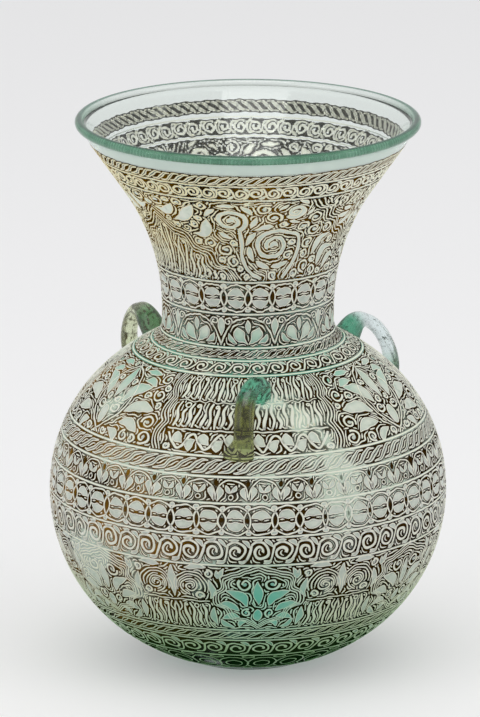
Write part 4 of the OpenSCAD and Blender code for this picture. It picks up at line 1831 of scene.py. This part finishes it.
def loop_ring(s, turn, run, slant, tail):
    """One ring of points of a loop, at a share s of its length."""
    middle = arch_point(s, *run)
    way = arch_point(min(1, s + NUDGE), *run) - arch_point(max(0, s - NUDGE), *run)
    way /= np.linalg.norm(way)
    half_w = np.interp(s, WIDTH_PLACES, (ROOT_W, STRAP_W, STRAP_W, FOOT_W)) / 2
    half_t = np.interp(s, THICK_PLACES, (ROOT_T, STRAP_T)) / 2
    pinch = tail * np.interp(s, TAIL_PLACES, (0.0, 1.0))
    angle = math.radians(turn + slant * ((1 - along_loop(s)) ** SLANT_POWER - 0.5))
    v = np.linspace(0, 2 * math.pi, SIDES, endpoint=False)
    rib = 1.0 - RIB_DEPTH * (0.5 + 0.5 * np.cos(RIBS * v + RIB_TWIST * s))
    side = (half_w + np.where(np.cos(v) < 0, pinch, 0.0)) * np.cos(v) * rib
    up = half_t * np.sin(v) * rib
    x = middle[0] - way[1] * up
    z = middle[1] + way[0] * up
    return np.column_stack([x * math.sin(angle) + side * math.cos(angle),
                            side * math.sin(angle) - x * math.cos(angle), z])


def loop_points(turn, run, slant, tail):
    """All points of a loop, ring after ring, from its root to its foot."""
    return np.vstack([loop_ring(i / (RINGS - 1), turn, run, slant, tail)
                      for i in range(RINGS)])


print("a loop has", RINGS, "rings of", SIDES, "points")

# %% [markdown]
# A soft trail takes the form of the globe where it is pressed on. The loop could
# be cut by the globe with a modifier, which leaves ragged faces. Here every point
# that would lie inside the globe is pushed straight out on to it.

# %% Seating a loop
SEAT_GAP = 0.02
SEAT = SEAT_GAP - RELIEF


def seat_on_shoulder(points):
    """Points inside the globe are moved straight out on to its face."""
    seated = points.copy()
    for k, (px, py, pz) in enumerate(points):
        x = math.hypot(px, py)
        centre, radius = shoulder_arc(x)
        away = np.array([x, pz]) - centre
        distance = np.linalg.norm(away)
        if distance < radius + SEAT:
            x_new, z_new = centre + away / distance * (radius + SEAT)
            seated[k] = (px * x_new / x, py * x_new / x, z_new)
    return seated


print("loops are seated", SEAT_GAP, "mm over the visible glass")

# %% [markdown]
# The trail took dark enamel with it as it was drawn, so brown threads and specks
# lie along the strap. The front loop has a thick turquoise root and an olive
# strap, the left one is yellowish, and the right one is nearly clear. All three
# are true clear glass, which bends what lies behind into their bright edges. An
# opaque finish would be quicker, but it would lose those. The threads need a
# place along and round the trail, not in space, so every point keeps one as an
# attribute.

# %% Loop finish
THREAD_SQUEEZE = (15.0, 6.0, 6.0)
ROOT_BLEND, THREAD_BLEND = 0.12, 0.07
FOOT_START, FOOT_FULL = 0.74, 0.9


def loop_finish(name, root, strap, foot, thread, amount, root_end):
    """Trailed glass from its root colour over its strap to its foot."""
    finish, tree, shader = new_finish(name)
    place = add_node(tree, "ShaderNodeAttribute")
    place.attribute_name = "trail"
    parts = add_node(tree, "ShaderNodeSeparateXYZ")
    feed(tree, parts, Vector=place.outputs["Vector"])
    rooted = stretch(tree, parts.outputs["X"], root_end - ROOT_BLEND, root_end)
    ended = stretch(tree, parts.outputs["X"], FOOT_START, FOOT_FULL)
    glass = tint(tree, ended, tint(tree, rooted, root, strap), foot)
    squeeze = add_node(tree, "ShaderNodeVectorMath")
    squeeze.operation = "MULTIPLY"
    squeeze.inputs[1].default_value = THREAD_SQUEEZE
    tree.links.new(place.outputs["Vector"], squeeze.inputs[0])
    threads = add_node(tree, "ShaderNodeTexNoise", Scale=1.0, Detail=6.0, Roughness=0.68)
    feed(tree, threads, Vector=squeeze.outputs["Vector"])
    streak = stretch(tree, threads.outputs["Fac"], amount - THREAD_BLEND, amount)
    colour = tint(tree, streak, glass, thread)
    rough = stretch(tree, threads.outputs["Fac"], 0.3, 0.7, 0.0, 0.06)
    clear = stretch(tree, streak, 0.0, 1.0, 0.97, 0.4)
    feed(tree, shader, Base_Color=colour, Roughness=rough, Transmission_Weight=clear)
    bump(tree, shader, threads.outputs["Fac"], 0.00012)
    shader.inputs["IOR"].default_value = 1.5
    return finish


def add_trail_places(piece):
    """Stores each point's place along and round the trail for the finish."""
    share = np.repeat(np.arange(RINGS) / (RINGS - 1), SIDES)
    v = np.tile(np.linspace(0, 2 * math.pi, SIDES, endpoint=False), RINGS)
    places = np.column_stack([share, 0.5 * np.cos(v), 0.5 * np.sin(v)])
    layer = piece.data.attributes.new("trail", "FLOAT_VECTOR", "POINT")
    layer.data.foreach_set("vector", places.ravel())


print("foot colour from", FOOT_START, "to", FOOT_FULL, "of the trail")

# %% [markdown]
# The three loops differ as handmade things do: in where they start, how far they
# reach and how high they rise (run), in their turn about the axis and their
# slant, and in the tail that was pinched off. Copies of one loop would be
# quicker, but the eye sees at once that they are alike.


# %% Loop pieces
def add_loop(name, turn, run, slant, tail, finish):
    """A loop on the shoulder; run is its start, its reach and its rise."""
    points = seat_on_shoulder(loop_points(turn, run, slant, tail))
    loop = make_piece("loop_" + name, points, tube_faces(RINGS, SIDES), finish,
                      "lamp")
    add_trail_places(loop)
    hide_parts("handle_" + name)


add_loop("front", turn=1.5, run=(0.31, 0.405, 11.5), slant=6.0, tail=5.0, finish=loop_finish(
    "olive_trail_glass", root=linear(84, 190, 160), strap=linear(122, 126, 60),
    foot=linear(176, 186, 112), thread=linear(46, 38, 14), amount=0.61, root_end=0.56))
add_loop("right", turn=119.0, run=(0.145, 0.485, 10.5), slant=-4.0, tail=1.0, finish=loop_finish(
    "clear_trail_glass", root=linear(84, 158, 128), strap=linear(228, 240, 240),
    foot=linear(158, 200, 176), thread=linear(34, 48, 34), amount=0.65, root_end=0.34))
add_loop("left", turn=-133.0, run=(0.24, 0.345, 16.0), slant=4.0, tail=1.0, finish=loop_finish(
    "yellow_green_trail_glass", root=linear(90, 128, 88), strap=linear(220, 228, 196),
    foot=linear(200, 212, 168), thread=linear(52, 44, 20), amount=0.6, root_end=0.4))

# %% [markdown]
# ## The oil cup and its wick
# A thin green tumbler stands on the floor of the bowl and holds the oil. It was
# blown, so its side view is spun like the lamp's wall, with a small pushed-in
# hollow under it and a rounded rim. A cone with a thickness modifier would be
# quicker, but it would have no hollow and a hard rim.

# %% Side view of the oil cup
CUP_BASE_R, CUP_H, CUP_FLARE, CUP_WALL, CUP_BOTTOM = 22.0, 58.0, 200.0, 2.0, 3.0
CUP_HOLE, FLOOR_ROUND = 0.3, 1.5
RIM_STEP, CUP_CURVE_STEP, CUP_TURNS = 0.2, 1.2, 144
cup_floor_z = FLOOR_Z + CUP_BOTTOM
cup_angle = math.degrees(math.asin(CUP_H / CUP_FLARE))
cup_c = np.array([CUP_BASE_R + CUP_FLARE, FLOOR_Z])
cup_side = arc(cup_c, CUP_FLARE, 180.0, 180.0 - cup_angle)
cup_inner = arc(cup_c, CUP_FLARE + CUP_WALL, 180.0 - cup_angle, 180.0)
rim_c = (cup_side[-1] + cup_inner[0]) / 2
cup_rim = arc(rim_c, CUP_WALL / 2, -cup_angle, 180.0 - cup_angle, RIM_STEP)
cup_inner = cup_inner[cup_inner[:, 1] > cup_floor_z + FLOOR_ROUND]
cup_floor = soft_curve([tuple(cup_inner[-1]), (18.6, cup_floor_z + 0.2), (9.0, cup_floor_z),
                        (CUP_HOLE, cup_floor_z + 0.3)], CUP_CURVE_STEP)
cup_under = soft_curve([(CUP_HOLE, FLOOR_Z + 1.1), (8.0, FLOOR_Z + 0.7), (15.0, FLOOR_Z),
                        (20.0, FLOOR_Z)], CUP_CURVE_STEP)
cup_outline = np.vstack([cup_side, cup_rim[1:-1], cup_inner, cup_floor[1:], cup_under])
print("cup", round(2 * cup_side[-1, 0], 1), "mm wide at its rim,", len(cup_outline), "points")


# %% Oil cup
def cup_glass():
    """Thin bubbly green glass."""
    finish, tree, shader = new_finish("oil_cup_glass")
    colour = tint(tree, clouds(tree, 70.0), linear(196, 222, 208), linear(216, 232, 224))
    rough = stretch(tree, noise(tree, 180.0), 0.3, 0.7, 0.04, 0.12)
    feed(tree, shader, Base_Color=colour, Roughness=rough)
    bump(tree, shader, noise(tree, 120.0, 2.0), 0.0004)
    shader.inputs["Transmission Weight"].default_value = 0.9
    shader.inputs["IOR"].default_value = 1.47
    return finish


cup_points, cup_faces = spin(cup_outline, CUP_TURNS)
cup = make_piece("oil_cup_glass", cup_points, cup_faces, cup_glass(), "oil_cup")
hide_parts("oil_cup")

# %% [markdown]
# A hammered strip of copper alloy lies across the cup and holds a small tube.
# Both could be modelled again, but their CAD shapes are true. So they are kept,
# with rounded edges from a modifier and a metal finish with hammer marks and
# dark tarnish.

# %% Copper strip and tube
EDGE_ROUND, EDGE_PARTS = 0.00018, 2


def copper_finish():
    """Hammered copper alloy with tarnish in patches."""
    finish, tree, shader = new_finish("tarnished_copper_alloy")
    marks = add_node(tree, "ShaderNodeTexVoronoi", Scale=420.0)
    feed(tree, marks, Vector=on_piece(tree))
    tarnish = stretch(tree, noise(tree, 150.0, 6.0), 0.42, 0.66)
    colour = tint(tree, tarnish, linear(196, 142, 84), linear(92, 62, 40))
    rough = stretch(tree, tarnish, 0.0, 1.0, 0.28, 0.6)
    feed(tree, shader, Base_Color=colour, Roughness=rough)
    bump(tree, shader, marks.outputs["Distance"], 0.0002)
    shader.inputs["Metallic"].default_value = 0.9
    return finish


copper = copper_finish()
for name in ("wick_strip", "wick_tube"):
    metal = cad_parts[name]
    metal.data.materials.clear()
    metal.data.materials.append(copper)
    rounding = metal.modifiers.new("rounded_edges", "BEVEL")
    rounding.width = EDGE_ROUND
    rounding.segments = EDGE_PARTS
    rounding.limit_method = "ANGLE"
    print(name, "keeps its CAD shape")

# %% [markdown]
# The wick is three loosely twisted strands of cotton. It could be a plain rod
# with a relief, but the twist shows at its outline. So each strand is a round
# section carried along a helix, and the three together fill the round solid of
# the CAD model. The top is charred black.

# %% Strands of the wick
WICK_LOW, WICK_HIGH = 22.59, 82.79
STRANDS, STRAND_R, STRAND_SET, TWIST = 3, 0.98, 1.0, 8.5
STRAND_RINGS, STRAND_SIDES = 150, 14
END_LEAST, END_RATE = 0.35, 40
FIBRE_DEPTH, FIBRES = 0.06, 4


def strand(phase):
    """One strand of the wick, as points ring after ring."""
    share = np.linspace(0, 1, STRAND_RINGS)
    z = WICK_LOW + (WICK_HIGH - WICK_LOW) * share
    angle = phase + 2 * math.pi * (z - WICK_LOW) / TWIST
    end = np.minimum(1.0, np.minimum(share, 1 - share) * END_RATE + END_LEAST)
    v = np.linspace(0, 2 * math.pi, STRAND_SIDES, endpoint=False)
    fibre = STRAND_R * (1 - FIBRE_DEPTH * (0.5 + 0.5 * np.cos(FIBRES * v)))
    x = np.cos(angle)[:, None] * STRAND_SET + end[:, None] * fibre * np.cos(v)
    y = np.sin(angle)[:, None] * STRAND_SET + end[:, None] * fibre * np.sin(v)
    return np.stack([x, y, np.broadcast_to(z[:, None], x.shape)], axis=2).reshape(-1, 3)


strands = [strand(2 * math.pi * k / STRANDS) for k in range(STRANDS)]
one_strand = tube_faces(STRAND_RINGS, STRAND_SIDES)
wick_faces = np.vstack([one_strand + k * len(strands[0]) for k in range(STRANDS)])
print(STRANDS, "strands of", len(strands[0]), "points")

# %% Wick
CHAR_FADE = (0.0765, 0.0812)


def cotton_finish():
    """Oily cotton, charred at its top."""
    finish, tree, shader = new_finish("twisted_cotton")
    fibre = clouds(tree, 900.0, 3.0)
    cotton = tint(tree, fibre, linear(206, 192, 158), linear(232, 222, 196))
    colour = tint(tree, place_ramp(tree, "Z", *CHAR_FADE), cotton, linear(26, 23, 21))
    feed(tree, shader, Base_Color=colour)
    bump(tree, shader, fibre, 0.0002)
    shader.inputs["Roughness"].default_value = 0.9
    shader.inputs["Sheen Weight"].default_value = 0.3
    return finish


wick = make_piece("wick_cotton", np.vstack(strands), wick_faces, cotton_finish(),
                  "wick")
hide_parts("wick")
